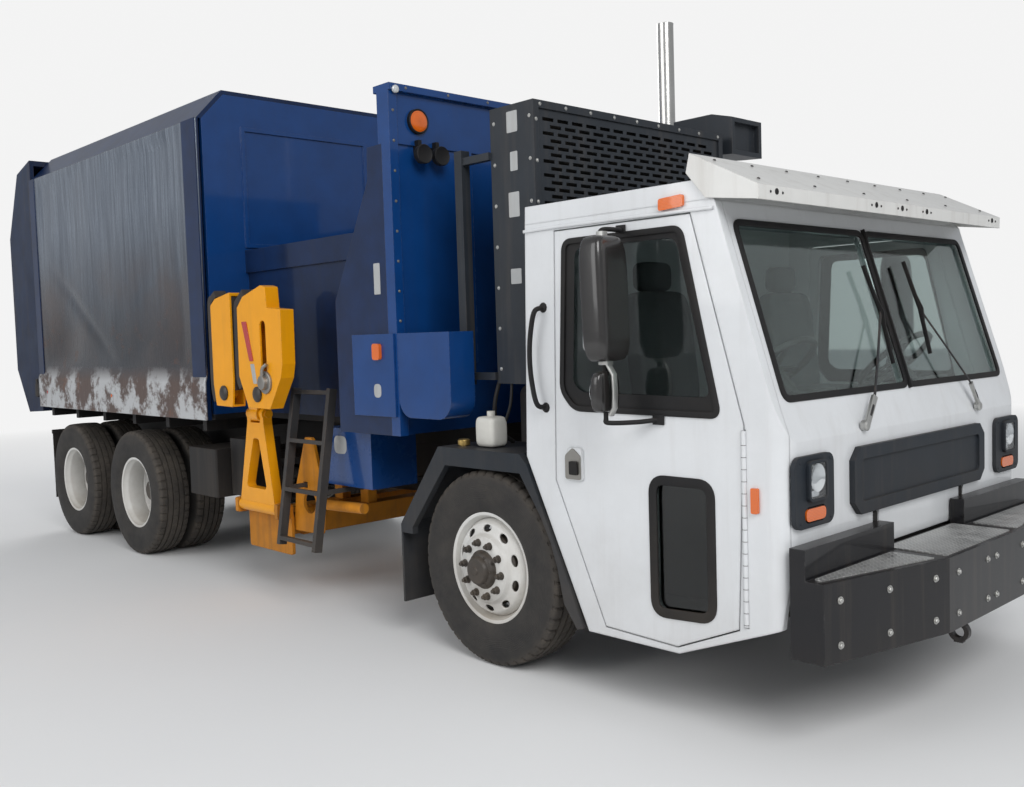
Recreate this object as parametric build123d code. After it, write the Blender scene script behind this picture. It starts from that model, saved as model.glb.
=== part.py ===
"""Side-loading garbage truck with a low cab, a packer body and a grabber arm.

Millimetres. X is forward, measured from the front axle while building, Y is to
the truck's left and Z is up from the ground. Each piece is moved at the end so
that the row's origin lies under the middle of the whole truck.
"""

import os
from math import cos, pi, sin

from build123d import *

# Clearances
FIT = 0.3              # seat between pieces that touch when assembled
PANEL_GAP = 6.0        # shut line round a door
PIN_FIT = 0.08         # radial play of a pin or spindle in its bore
MOVE_GAP = 8.0         # room beside a panel that moves past another

# Ground, wheels and axles
TYRE_R = 525.0
TYRE_W = 280.0
TREAD_W = 236.0
BEAD_W = 210.0
SEAT_R = 286.0         # tyre seat on the rim
FLANGE_R = 299.0       # rim flange
RIM_WALL = 8.0
DISC_OFFSET = 156.0    # wheel centre plane to the disc's mounting face
DISC_T = 12.0
DISC_FACE_R = 172.0    # flat face that the nuts clamp
DISC_DROP = 40.0       # from that face back to the ring of hand holes
HOLE_RING_R = (190.0, 246.0)
HAND_HOLES = 10
HAND_HOLE = (62.0, 40.0)
BRAKE_DRUM_R = 205.0
SPINDLE_R = 36.0
HUB_Z = TYRE_R
FRONT_WHEEL_Y = 1050.0
REAR_WHEEL_Y = 1085.0  # outer wheel of each pair
DUAL_SPACING = 2 * DISC_OFFSET + 6.0
REAR_AXLES_X = (-4434.0, -5802.0)

# Frame
RAIL_Y = 430.0         # outer face of each rail
RAIL_W = 75.0
RAIL_WEB = 9.0
RAIL_LOW = 780.0
RAIL_TOP = 1040.0
HORN_LOW = 500.0
HORN_TOP = 735.0
CROSS_T = 60.0
CROSS_LOW = 800.0
CROSS_TOP = 1020.0
CROSS_X = (1230.0, -820.0, -1900.0, -3300.0, -5118.0)
REAR_PLATE_T = 12.0
HITCH_SPACING = 90.0
HITCH_HOLE_R = 9.0
HITCH_Z = 730.0

ENGINE_REAR_X = -600.0

# Kingpins and knuckles
KINGPIN_Y = 915.0
KINGPIN_R = 22.0
BOSS_R = 46.0
BOSS_HALF = 80.0
EAR_T = 40.0

# Cab, with its outline seen from the side
CAB_HALF = 1190.0
CAB_WALL = 50.0
CAB_BACK_X = 344.0
CAB_FACE_X = 1820.0
CAB_BACK_LOW = 1152.0
CAB_SIDE_TOP = 2300.0
ROOF_EDGE_Z = 2388.0
ROOF_CROWN = 62.0
CAB_CORNER_R = 90.0
DECK_Z = 1062.0
DECK_T = 40.0
WELL_Y = 700.0
WELL_FLOOR_Z = 420.0
APRON_Z = 765.0
SCREEN_LOW = (1770.0, 1436.0)
SCREEN_HIGH = (1524.0, 2233.0)
SCREEN_HALF = CAB_HALF - 94.0
SCREEN_T = 8.0
PILLAR_HALF = 16.0     # centre divider of the windscreen
SEAT_Y = 600.0
VISOR_HALF = CAB_HALF + 14.0
VISOR_FOOT_INSET = 104.0   # outer feet, inside the visor's ends

# Cab hinge: a lug on each rail, in a notch of the front wall
CAB_PIVOT = (CAB_FACE_X - CAB_WALL / 2, 910.0)
CAB_PIN_R = 14.0
CAB_LUG_R = 22.0
CAB_LUG_T = 40.0

# Doors: hinge line at the front edge
DOOR_HINGE_X = 1626.0
HINGE_R = 11.0
DOOR_T = 46.0
HINGE_Z = (520.0, 1340.0)
GLASS_T = 6.0
MIRROR_OUT = 176.0
MIRROR_HALF = 105.0

# Bumper
BUMPER_LOW = 430.0
BUMPER_TOP = 745.0
BUMPER_FRONT_X = 2150.0
BUMPER_BEND_Y = 450.0
BUMPER_CORNER_X = 1980.0
BUMPER_BACK_X = 1830.0
BUMPER_HALF = CAB_HALF
GUARD_INSET = 39.0      # left guard block, inside the bumper's end
BUMPER_T = 60.0
RAIL_FRONT_X = BUMPER_FRONT_X - BUMPER_T
GUARD_TOP = 880.0
TOW_HOLE_R = 26.0
TOW_PLATE_T = 30.0
TOW_Y = -260.0

# Bed: packer body and hopper, tipped as one about the rear shaft
BED_PIVOT = (-6430.0, 990.0)
BED_PIN_R = 30.0
BED_LUG_R = 45.0
BED_LUG_HALF = 60.0    # half length of the lug plate along X
RAIL_REAR_X = BED_PIVOT[0] + BED_LUG_R + 5.0
SILL_LOW = RAIL_TOP + FIT
FLOOR_LOW = 1200.0
FLOOR_TOP = 1240.0
BODY_HALF = 1220.0
BODY_WALL = 40.0
BODY_FRONT_X = -2980.0
BODY_REAR_X = -6500.0
BODY_SIDE_TOP = 3410.0
BODY_ROOF_Z = 3635.0
ROOF_FLAT_HALF = BODY_HALF - 210.0
ROOF_T = 30.0
POST_W = 210.0
LEDGE_HALF = BODY_HALF + 18.0
HOPPER_FRONT_X = -700.0
RECESS_Y = BODY_HALF - 370.0
RECESS_FRONT_X = -1270.0
SILL_Z = 2460.0
SILL_BAND = 170.0
HOPPER_TOP = 2870.0
HEADER_TOP = 3200.0
MOUTH_TOP = 2300.0
PACKER_T = 130.0
PACKER_TOP = 2180.0
CABINET_Z = (1310.0, 1790.0)

# Tailgate
GATE_PIVOT = (-6545.0, 3700.0)
GATE_GAP = 8.0
GATE_PIN_R = 22.0

# Cooling stack behind the cab
COOLER_X = (-60.0, 270.0)
COOLER_Y = (-1000.0, 660.0)
COOLER_Z = (1500.0, 2965.0)
GRILLE_T = 6.0
GRILLE_SLOT = (84.0, 18.0)
GRILLE_PITCH = (112.0, 36.0)
GRILLE_LOW = 2440.0

# Exhaust and intake
STACK_R = 57.0
STACK_X = -485.0
STACK_Y = BODY_HALF - 135.0
STACK_TOP = 3900.0
MUFFLER_R = 115.0

# Grabber arm, stored upright in the hopper's recess
ARM_TUBE = 140.0
ARM_TUBE_WALL = 10.0
ARM_TUBE_LOW = 420.0
ARM_TUBES_X = (-2520.0, -2180.0)
ARM_INSET = 220.0       # ends of the fixed tubes, inside the body's side
ARM_TUBE_HALF = BODY_HALF - ARM_INSET
BRACE_OUT = 90.0        # brace plate's inner edge, beyond the tubes' ends
LIFT_PIVOT = (-ARM_TUBE_HALF - 180.0, 620.0)
LIFT_PIN_R = 26.0
TILT_PIVOT = (LIFT_PIVOT[0], 1270.0)
TILT_PIN_R = 24.0
TILT_R = 55.0
TILT_X = (-2440.0, -2220.0)   # outer faces of the arm's top ears
TILT_EAR = 48.0
FINGER_Y = (LIFT_PIVOT[0] - 165.0, LIFT_PIVOT[0] - 68.0)
FINGER_WALL = 14.0
FINGER_PIN_R = 24.0
FINGER_PINS = {"front": (-2040.0, 1420.0), "rear": (-2500.0, 1420.0)}

# Access ladder: rear X, front X, low Z, top Z
LADDER = (-1930.0, -1470.0, 420.0, 1460.0)
LADDER_GAP = 120.0     # ladder's middle, outboard of the arm's brace plate
LADDER_Y = -ARM_TUBE_HALF - BRACE_OUT - LADDER_GAP
LADDER_BAR = 56.0
LADDER_LEAN = 9.0      # degrees, foot outboard

REAR_X = -7200.0
ORIGIN_X = (BUMPER_FRONT_X + REAR_X) / 2


def block(x0, x1, y0, y1, z0, z1):
    """A box between two limits on each axis."""
    middle = ((x0 + x1) / 2, (y0 + y1) / 2, (z0 + z1) / 2)
    return Pos(*middle) * Box(abs(x1 - x0), abs(y1 - y0), abs(z1 - z0))


def outline(points, corner=0.0):
    """A closed flat outline, with all its corners rounded alike."""
    face = Polygon(*points, align=None)
    return fillet(face.vertices(), corner) if corner else face


def slab_y(shape, y0, y1):
    """An outline in X and Z, as thick as from y0 to y1."""
    plane = Plane(origin=(0, max(y0, y1), 0), x_dir=(1, 0, 0), z_dir=(0, -1, 0))
    return extrude(plane * shape, amount=abs(y1 - y0), dir=(0, -1, 0))


def slab_x(shape, x0, x1):
    """An outline in Y and Z, as thick as from x0 to x1."""
    plane = Plane(origin=(min(x0, x1), 0, 0), x_dir=(0, 1, 0), z_dir=(1, 0, 0))
    return extrude(plane * shape, amount=abs(x1 - x0), dir=(1, 0, 0))


def slab_z(shape, z0, z1):
    """An outline in X and Y, as thick as from z0 to z1."""
    plane = Plane(origin=(0, 0, min(z0, z1)))
    return extrude(plane * shape, amount=abs(z1 - z0), dir=(0, 0, 1))


def rod(start, end, radius):
    """A round bar between two points."""
    a, b = Vector(*start), Vector(*end)
    plane = Plane(origin=a, z_dir=b - a)
    return extrude(plane * Circle(radius), amount=(b - a).length)


def turned(profile):
    """A profile of (Y, radius) points turned about the Y axis."""
    plane = Plane(origin=(0, 0, 0), x_dir=(0, 1, 0), z_dir=(1, 0, 0))
    return revolve(plane * Polygon(*profile, align=None), axis=Axis.Y)


def left_of(part):
    """The same piece on the truck's other side."""
    return mirror(part, about=Plane.XZ)


def both_sides(part):
    """The piece and its mirror image, as one node."""
    return Compound([part, left_of(part)])


def joined(*parts):
    """The pieces fused to one."""
    total = parts[0]
    for part in parts[1:]:
        total = total + part
    return total


# Frame

def frame_rails():
    """Two channels whose front ends step down to carry the bumper."""
    side = [
        (RAIL_REAR_X, RAIL_LOW), (1100, RAIL_LOW), (1330, HORN_LOW),
        (RAIL_FRONT_X, HORN_LOW), (RAIL_FRONT_X, HORN_TOP), (1480, HORN_TOP),
        (1390, RAIL_TOP), (RAIL_REAR_X, RAIL_TOP),
    ]
    face = Polygon(*side, align=None)
    pocket = offset(face, amount=-RAIL_WEB, kind=Kind.INTERSECTION)
    rail = slab_y(face, -RAIL_Y, -RAIL_Y + RAIL_W)
    rail -= slab_y(pocket, -RAIL_Y + RAIL_WEB, -RAIL_Y + RAIL_W)
    return both_sides(rail)


def crossmembers():
    """Box members between the webs, and the rear plate with the hitch holes."""
    web = RAIL_Y - RAIL_WEB
    members = [
        block(x - CROSS_T / 2, x + CROSS_T / 2, -web, web, CROSS_LOW, CROSS_TOP)
        for x in CROSS_X
    ]
    plate_x = RAIL_REAR_X + 60
    plate = block(plate_x, plate_x + REAR_PLATE_T, -web, web, CROSS_LOW, CROSS_TOP)
    plate += block(plate_x, plate_x + REAR_PLATE_T, -200, 200, HITCH_Z - 90, CROSS_LOW)
    for side in (-1, 1):
        for rise in (-1, 1):
            y, z = side * HITCH_SPACING / 2, HITCH_Z + rise * HITCH_SPACING / 2
            plate -= rod((plate_x - 1, y, z), (plate_x + REAR_PLATE_T + 1, y, z), HITCH_HOLE_R)
    pivot_x, pivot_z = BED_PIVOT
    shaft = rod((pivot_x, -RAIL_Y - 70, pivot_z), (pivot_x, RAIL_Y + 70, pivot_z), BED_PIN_R)
    for side in (-1, 1):
        y0, y1 = side * (RAIL_Y - RAIL_W), side * RAIL_Y
        shaft += rod((pivot_x, y0, pivot_z), (pivot_x, y1, pivot_z), BED_LUG_R)
        shaft += block(pivot_x, RAIL_REAR_X, y0, y1, pivot_z - BED_LUG_R, pivot_z + 30)
    return Compound(members + [plate, shaft, cab_lug(), left_of(cab_lug())])


def cab_lug():
    """Right-hand lug on the rail's outer face, with the pin of the tilting cab."""
    x, z = CAB_PIVOT
    y0 = -RAIL_Y - FIT
    lug = block(x - CAB_LUG_R, x + CAB_LUG_R, y0 - CAB_LUG_T, y0, 560, z)
    lug += rod((x, y0 - CAB_LUG_T, z), (x, y0, z), CAB_LUG_R)
    return lug + rod((x, y0 - CAB_LUG_T - 60, z), (x, y0 + 60, z), CAB_PIN_R)


def front_axle():
    """Dropped beam with an eye for each kingpin, and the leaf springs over it."""
    beam_low, beam_top = 395.0, 490.0
    half = [
        (0, beam_low), (520, beam_low), (700, HUB_Z - 45), (KINGPIN_Y, HUB_Z - 45),
        (KINGPIN_Y, HUB_Z + 45), (660, HUB_Z + 45), (480, beam_top), (0, beam_top),
    ]
    beam = slab_x(Polygon(*half, align=None), -45, 45)
    beam += rod((0, KINGPIN_Y, HUB_Z - BOSS_HALF), (0, KINGPIN_Y, HUB_Z + BOSS_HALF), BOSS_R)
    beam -= rod(
        (0, KINGPIN_Y, HUB_Z - BOSS_HALF - 1), (0, KINGPIN_Y, HUB_Z + BOSS_HALF + 1),
        KINGPIN_R + PIN_FIT,
    )
    beam += spring(0.0, beam_top, 640.0, 5)
    return beam + left_of(beam)


def spring(x, low, half_length, leaves):
    """A leaf spring: each leaf shorter than the one over it, with hangers to the rail."""
    leaf_t, leaf_w = 20.0, 76.0
    y0, y1 = -RAIL_Y + 2, -RAIL_Y + 2 + leaf_w
    pack = None
    for row in range(leaves):
        reach = half_length * (row + 1) / leaves
        leaf = block(x - reach, x + reach, y0, y1, low + row * leaf_t, low + (row + 1) * leaf_t)
        pack = leaf if pack is None else pack + leaf
    top = low + leaves * leaf_t
    for end in (-1, 1):
        pack += block(
            x + end * half_length, x + end * (half_length - 70), y0, y1, top, RAIL_LOW
        )
    return pack


def drive_axles():
    """Two drive axles under their springs and equaliser bars, with the prop shafts."""
    parts = []
    for x in REAR_AXLES_X:
        reach = REAR_WHEEL_Y - DISC_OFFSET - DISC_T
        inner = REAR_WHEEL_Y - DUAL_SPACING - BEAD_W / 2 - 20
        axle = rod((x, -inner, HUB_Z), (x, inner, HUB_Z), 70)
        axle += rod((x, -reach, HUB_Z), (x, reach, HUB_Z), SPINDLE_R)
        bowl = [(-190, 70), (-105, 165), (60, 165), (150, 95), (190, 70), (190, 0), (-190, 0)]
        axle += Pos(x, 0, HUB_Z) * turned(bowl)
        parts.append(axle)
    first, second = REAR_AXLES_X
    yoke_x = ENGINE_REAR_X - 60
    parts.append(rod((ENGINE_REAR_X - FIT, 0, 690), (yoke_x, 0, 690), 60))
    parts.append(rod((yoke_x + 20, 0, 690), (first, 0, HUB_Z + 60), 50))
    parts.append(rod((first, 0, HUB_Z + 20), (second, 0, HUB_Z + 20), 50))
    bar_top = HUB_Z + 90
    for side in (-1, 1):
        y = side * (RAIL_Y - 40)
        parts.append(block(second - 90, first + 90, y - 30, y + 30, HUB_Z + 55, bar_top))
    pack = spring((first + second) / 2, bar_top, 560.0, 4)
    return joined(*parts, pack, left_of(pack))


def engine():
    """The engine and gearbox as one plain block between the rails."""
    mass = block(ENGINE_REAR_X, 300, -320, 320, 620, 1440)
    return fillet(mass.edges().filter_by(Axis.X), 60)


# Wheels, with the outer face towards +Y and the centre at the origin

def tyre_ring():
    """A tyre, solid down to its seat on the rim."""
    bead, tread, wide = BEAD_W / 2, TREAD_W / 2, TYRE_W / 2
    right = [
        (bead, SEAT_R + FIT), (bead, FLANGE_R + 3), (wide, 392), (tread + 10, TYRE_R - 36),
        (tread - 14, TYRE_R),
    ]
    left = [(-y, r) for y, r in reversed(right)]
    return turned(right + left)


def wheel_disc(convex):
    """A drop-centre rim with its disc, pierced by oval hand holes."""
    lip, seat = BEAD_W / 2 + RIM_WALL, BEAD_W / 2 + FIT
    well_r = SEAT_R - 24
    barrel = turned([
        (-lip, SEAT_R - RIM_WALL), (-lip, FLANGE_R), (-seat, FLANGE_R), (-seat, SEAT_R),
        (seat, SEAT_R), (seat, FLANGE_R), (lip, FLANGE_R), (lip, SEAT_R - RIM_WALL),
        (seat - 40, well_r), (40 - seat, well_r),
    ])
    face, ring_y = DISC_OFFSET, DISC_OFFSET - DISC_DROP
    disc = turned([
        (seat - 50, well_r + 2), (seat - 36, well_r + 2), (ring_y, HOLE_RING_R[1]), (ring_y, HOLE_RING_R[0]),
        (face, DISC_FACE_R), (face, 60), (face - DISC_T, 60), (face - DISC_T, DISC_FACE_R - 4),
        (ring_y - DISC_T, HOLE_RING_R[0] - 5), (ring_y - DISC_T, HOLE_RING_R[1] - 5),
    ])
    long, tall = HAND_HOLE
    oval = chamfer(Rectangle(long, tall).vertices(), tall / 2 - 6)
    middle = (HOLE_RING_R[0] + HOLE_RING_R[1]) / 2 - 2
    for index in range(HAND_HOLES):
        turn = 2 * pi * (index + 0.5) / HAND_HOLES
        x, z = middle * cos(turn), middle * sin(turn)
        plane = Plane(origin=(x, ring_y - 30, z), x_dir=(-sin(turn), 0, cos(turn)), z_dir=(0, 1, 0))
        disc -= extrude(plane * oval, amount=60)
    wheel = barrel + disc
    return wheel if convex else Rot(0, 0, 180) * wheel


def front_wheel():
    """Steer wheel: convex disc, hub with its cap, and the brake drum behind."""
    face = DISC_OFFSET
    hub = turned([
        (-30, SPINDLE_R + PIN_FIT), (-30, 96), (face - DISC_T - 16, 100), (face - DISC_T - 16, 150),
        (face - DISC_T, 150), (face - DISC_T, 84), (face + 44, 84), (face + 66, 62), (face + 66, 0),
        (face + 30, 0), (face + 30, SPINDLE_R + PIN_FIT),
    ])
    drum = turned([
        (-62, BRAKE_DRUM_R), (face - 60, BRAKE_DRUM_R), (face - DISC_T - 8, 140), (face - DISC_T - 16, 98),
        (-62, BRAKE_DRUM_R - 16),
    ])
    return joined(wheel_disc(True), hub, drum)


def dual_wheels():
    """A pair of rear wheels back to back, with the hub through the outer one."""
    half = DUAL_SPACING / 2
    outer = Pos(0, half, 0) * wheel_disc(False)
    inner = Pos(0, -half, 0) * wheel_disc(True)
    bore = SPINDLE_R + PIN_FIT
    hub = turned([
        (-190, bore), (-190, 100), (-18, 110), (-18, 150), (18, 150), (18, 106), (116, 98), (156, 70),
        (156, 0), (130, 0), (130, bore),
    ])
    drum = turned([
        (-186, BRAKE_DRUM_R - 5), (-60, BRAKE_DRUM_R - 9), (-14, 140), (-14, 108), (-186, BRAKE_DRUM_R - 21),
    ])
    return joined(outer, inner, hub, drum)


def dual_tyres():
    """The two tyres of a rear pair."""
    half = DUAL_SPACING / 2
    return Compound([Pos(0, half, 0) * tyre_ring(), Pos(0, -half, 0) * tyre_ring()])


def knuckle():
    """Right-hand fork round the axle's eye, with its kingpin, spindle and steering arm."""
    low, top = HUB_Z - BOSS_HALF, HUB_Z + BOSS_HALF
    web_y = -KINGPIN_Y - BOSS_R - 8
    ears = None
    for z0, z1 in ((low - FIT - EAR_T, low - FIT), (top + FIT, top + FIT + EAR_T)):
        ear = rod((0, -KINGPIN_Y, z0), (0, -KINGPIN_Y, z1), BOSS_R)
        ear += block(-BOSS_R, BOSS_R, -KINGPIN_Y, web_y, z0, z1)
        ears = ear if ears is None else ears + ear
    web = block(-60, 60, web_y, web_y - 20, low - FIT - EAR_T, top + FIT + EAR_T)
    pin = rod((0, -KINGPIN_Y, low - EAR_T), (0, -KINGPIN_Y, top + EAR_T), KINGPIN_R)
    reach = -FRONT_WHEEL_Y - DISC_OFFSET
    spindle = rod((0, web_y - 19, HUB_Z), (0, reach, HUB_Z), SPINDLE_R)
    arm = block(-240, -30, -KINGPIN_Y - 22, -KINGPIN_Y + 22, low - FIT - EAR_T, low - FIT - 8)
    return joined(ears, web, pin, spindle, arm)


# Cab

CAB_SIDE = [
    (738, 332), (1274, 335), (1784, 530), (CAB_FACE_X, 800), (CAB_FACE_X, 1292),
    SCREEN_LOW, SCREEN_HIGH, (1508, 2290), (1384, ROOF_EDGE_Z + ROOF_CROWN),
    (386, ROOF_EDGE_Z + ROOF_CROWN), (378, 2275), (CAB_BACK_X, CAB_BACK_LOW),
]
DOOR_OPENING = [
    (575, 2256), (542, 1047), (845, 372), (1266, 360), (1592, 498),
    (DOOR_HINGE_X + PANEL_GAP, 1361), (1381, 2256),
]
DOOR_WINDOW = [(642, 2196), (604, 1488), (682, 1402), (1506, 1396), (1326, 2196)]
LOW_WINDOW = [(1146, 500), (1458, 520), (1458, 1100), (1146, 1100)]


def cab_body():
    """The cab's shell before it is parted: outer form less the hollow inside."""
    side = Polygon(*CAB_SIDE, align=None)
    plan = Rectangle(CAB_FACE_X - CAB_BACK_X, 2 * CAB_HALF)
    plan = Pos((CAB_FACE_X + CAB_BACK_X) / 2, 0) * plan
    front = plan.vertices().filter_by(lambda v: v.X > CAB_FACE_X - 1)
    plan = fillet(front, CAB_CORNER_R)
    high = ROOF_EDGE_Z + ROOF_CROWN + 10
    form = slab_y(side, -CAB_HALF, CAB_HALF) & slab_z(plan, 300, high)
    crown_y = CAB_HALF + 1
    roof_line = [
        Line((-crown_y, 300), (crown_y, 300)), Line((crown_y, 300), (crown_y, ROOF_EDGE_Z)),
        ThreePointArc((crown_y, ROOF_EDGE_Z), (0, ROOF_EDGE_Z + ROOF_CROWN), (-crown_y, ROOF_EDGE_Z)),
        Line((-crown_y, ROOF_EDGE_Z), (-crown_y, 300)),
    ]
    form = form & slab_x(make_face(roof_line), CAB_BACK_X - 10, CAB_FACE_X + 10)
    hollow = slab_y(offset(side, amount=-CAB_WALL, kind=Kind.INTERSECTION),
                    -CAB_HALF + CAB_WALL, CAB_HALF - CAB_WALL)
    hollow &= block(CAB_BACK_X, CAB_FACE_X, -CAB_HALF, CAB_HALF, 300, ROOF_EDGE_Z - CAB_WALL + 20)
    return form - hollow


def screen_frame():
    """Axes along the windscreen: its lower edge, its slope and its outward normal."""
    low, high = Vector(SCREEN_LOW[0], 0, SCREEN_LOW[1]), Vector(SCREEN_HIGH[0], 0, SCREEN_HIGH[1])
    slope = (high - low)
    return low, slope.length, slope.normalized()


def screen_slab(side, depth_in, thickness, grow=0.0):
    """One windscreen pane's place, between the divider and the corner post."""
    low, length, slope = screen_frame()
    plane = Plane(origin=low, x_dir=(0, 1, 0), z_dir=Vector(0, 1, 0).cross(slope))
    y0, y1 = PILLAR_HALF - grow, SCREEN_HALF + grow
    pane = Rectangle(y1 - y0, length - 60 + 2 * grow)
    pane = fillet(pane.vertices(), 40 + grow)
    pane = Pos(side * (y0 + y1) / 2, length / 2) * pane
    normal = plane.z_dir
    inward = normal if normal.X < 0 else normal * -1
    placed = (plane * pane).moved(Location(inward * depth_in))
    return extrude(placed, amount=thickness, dir=tuple(inward))


def cab_panels():
    """The shell parted into roof, back, front and sides, with the openings cut."""
    shell = cab_body()
    inner, outer = CAB_HALF - CAB_WALL, CAB_HALF + 10
    x0, x1, high = CAB_BACK_X - 10, CAB_FACE_X + 10, ROOF_EDGE_Z + ROOF_CROWN + 10
    roof = shell & block(x0, x1, -outer, outer, CAB_SIDE_TOP, high)
    low = shell & block(x0, x1, -outer, outer, 300, CAB_SIDE_TOP)
    middle = low & block(x0, x1, -inner, inner, 300, CAB_SIDE_TOP)
    back = middle & block(x0, x0 + 300, -inner, inner, DECK_Z + DECK_T, CAB_SIDE_TOP)
    front = middle & block(x1 - 530, x1, -inner, inner, APRON_Z, CAB_SIDE_TOP)
    pin_x, pin_z = CAB_PIVOT
    for side in (-1, 1):
        front -= screen_slab(side, -60, 200)
        notch_y = (side * (RAIL_Y - MOVE_GAP), side * (RAIL_Y + CAB_LUG_T + MOVE_GAP))
        notch_top = pin_z + CAB_LUG_R + MOVE_GAP
        front -= block(CAB_FACE_X - CAB_WALL - 1, CAB_FACE_X + 1, *notch_y, APRON_Z - 1, notch_top)
        pin_y = (side * (RAIL_Y - 60), side * (RAIL_Y + CAB_LUG_T + 61))
        front -= rod((pin_x, pin_y[0], pin_z), (pin_x, pin_y[1], pin_z), CAB_PIN_R + PIN_FIT)
    frame = low & block(x0, x1, -outer, -inner, 300, CAB_SIDE_TOP)
    frame -= slab_y(Polygon(*DOOR_OPENING, align=None), -CAB_HALF - 1, -inner + 1)
    low_z, high_z = HINGE_Z
    frame -= rod((DOOR_HINGE_X, -CAB_HALF, low_z - 5), (DOOR_HINGE_X, -CAB_HALF, high_z + 5), HINGE_R + FIT)
    return roof, back, front, frame


def cab_floor():
    """Raised deck over the engine, with a footwell on each side inside the doors."""
    inner = CAB_HALF - CAB_WALL
    back_x = CAB_BACK_X + 2
    deck = block(back_x, CAB_FACE_X - CAB_WALL, -inner, inner, DECK_Z, DECK_Z + DECK_T)
    deck += block(1700, 1760, -RAIL_Y + 100, RAIL_Y - 100, APRON_Z, DECK_Z)
    well_x = (640.0, 1700.0)
    for side in (-1, 1):
        y0, y1 = side * WELL_Y, side * inner
        hole_y0, hole_y1 = side * (WELL_Y + 30), side * inner
        low_x = (well_x[0] + 30, well_x[1] - 60)
        deck -= block(*low_x, hole_y0, hole_y1, DECK_Z - 1, DECK_Z + DECK_T + 1)
        well = block(*well_x, y0, y1, WELL_FLOOR_Z, DECK_Z)
        well -= block(*low_x, hole_y0, hole_y1, WELL_FLOOR_Z + 25, DECK_Z + 1)
        slope = [(1500, WELL_FLOOR_Z - 1), (1750, WELL_FLOOR_Z - 1), (1750, 600)]
        well -= slab_y(Polygon(*slope, align=None), y0, y1)
        slant = [(600, 400), (740, 400), (640, 620), (600, 700)]
        well -= slab_y(Polygon(*slant, align=None), y0, y1)
        deck += well
    return deck


def windscreen():
    """Two flat panes, one each side of the divider."""
    return Compound([screen_slab(side, 12, SCREEN_T, grow=-FIT) for side in (-1, 1)])


def sun_visor(roof):
    """Folded sheet over the windscreen, its feet cut to the roof they stand on."""
    top = [(1392, 2500), (1728, 2331), (1726, 2272), (1716, 2272), (1717, 2325), (1388, 2490)]
    sheet = slab_y(Polygon(*top, align=None), -VISOR_HALF, VISOR_HALF)
    cheek = [(1392, 2500), (1728, 2331), (1726, 2272), (1469, 2306), (1372, 2420)]
    for side in (-1, 1):
        sheet += slab_y(Polygon(*cheek, align=None), side * VISOR_HALF, side * (VISOR_HALF - 10))
    foot = [(1412, 2394), (1480, 2305), (1530, 2422), (1440, 2468)]
    pitch = (VISOR_HALF - VISOR_FOOT_INSET) / 2
    for step in (-2, -1, 0, 1, 2):
        sheet += slab_y(Polygon(*foot, align=None), step * pitch - 8, step * pitch + 8)
    return sheet - roof


def grille_panel():
    """Blank slate-coloured panel with chamfered corners and a headlamp unit each side."""
    face = CAB_FACE_X + FIT
    half, low, high, cut = 685.0, 935.0, 1230.0, 55.0
    rim = [
        (-half, low + cut), (-half + cut, low), (half - cut, low), (half, low + cut),
        (half, high - cut), (half - cut, high), (-half + cut, high), (-half, high - cut),
    ]
    plate = slab_x(Polygon(*rim, align=None), face, face + 26)
    hollow = Rectangle(2 * half - 130, high - low - 110)
    hollow = Pos(0, (high + low) / 2) * fillet(hollow.vertices(), 25)
    plate -= slab_x(hollow, face + 14, face + 27)
    lamp_y = -CAB_HALF + 190
    unit = outline([(lamp_y - 156, 940), (lamp_y + 150, 940), (lamp_y + 150, 1235), (lamp_y - 156, 1235)], 45)
    lamp = slab_x(unit, face, face + 20)
    lamp -= rod((face + 6, lamp_y, 1130), (face + 30, lamp_y, 1130), 72)
    lamp += rod((face, lamp_y, 1130), (face + 16, lamp_y, 1130), 62)
    lamp -= slab_x(Pos(lamp_y, 992) * SlotOverall(170, 66), face + 6, face + 30)
    lamp += slab_x(Pos(lamp_y, 992) * SlotOverall(156, 54), face, face + 16)
    return Compound([plate, lamp, left_of(lamp)])


def dashboard():
    """Dash across the cab, with a hood and a steering wheel at each driving position."""
    profile = [(1480, 1150), (1738, 1150), (1738, 1340), (1700, 1400), (1560, 1400), (1480, 1320)]
    inner = CAB_HALF - CAB_WALL
    dash = slab_y(Polygon(*profile, align=None), -inner + 2, inner - 2)
    hood = [(1500, 1330), (1560, 1399), (1660, 1399), (1600, 1475), (1500, 1450)]
    for y in (-SEAT_Y, SEAT_Y):
        dash += slab_y(Polygon(*hood, align=None), y - 190, y + 190) + steering_wheel(y)
    return dash + block(1560, 1700, -250, 250, DECK_Z + DECK_T, 1150)


def steering_wheel(y):
    """A wheel and its raked column, which stands on the dash."""
    centre, foot = Vector(1400, y, 1560), Vector(1560, y, 1370)
    plane = Plane(origin=centre, z_dir=centre - foot)
    rim = Polygon((200, -8), (208, -15), (222, -15), (230, -8), (230, 8), (222, 15), (208, 15), (200, 8),
                  align=None)
    wheel = plane * revolve(Plane.XZ * rim, axis=Axis.Z)
    wheel += rod(centre, foot, 34)
    for turn in (90, 210, 330):
        wheel += plane * Rot(0, 0, turn) * block(0, 206, -16, 16, -6, 6)
    return wheel


def seats():
    """A driver's seat on each side: base, cushion, back and head rest."""
    made = []
    for y in (-SEAT_Y, SEAT_Y):
        cushion = chamfer(block(760, 1230, y - 240, y + 240, 1290, 1400).edges(), 24)
        back = slab_y(Polygon((700, 1330), (830, 1330), (772, 1930), (740, 1960), (676, 1960), align=None),
                      y - 235, y + 235)
        head = slab_y(Polygon((655, 1950), (750, 1950), (738, 2085), (715, 2110), (650, 2110), align=None),
                      y - 130, y + 130)
        inner = 60 if y < 0 else -60
        base = block(820, 1120, y + inner - 110, y + inner + 110, DECK_Z + DECK_T, 1295)
        made.append(joined(cushion, back, head, base))
    return Compound(made)


# Doors, built on the right and mirrored

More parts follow.
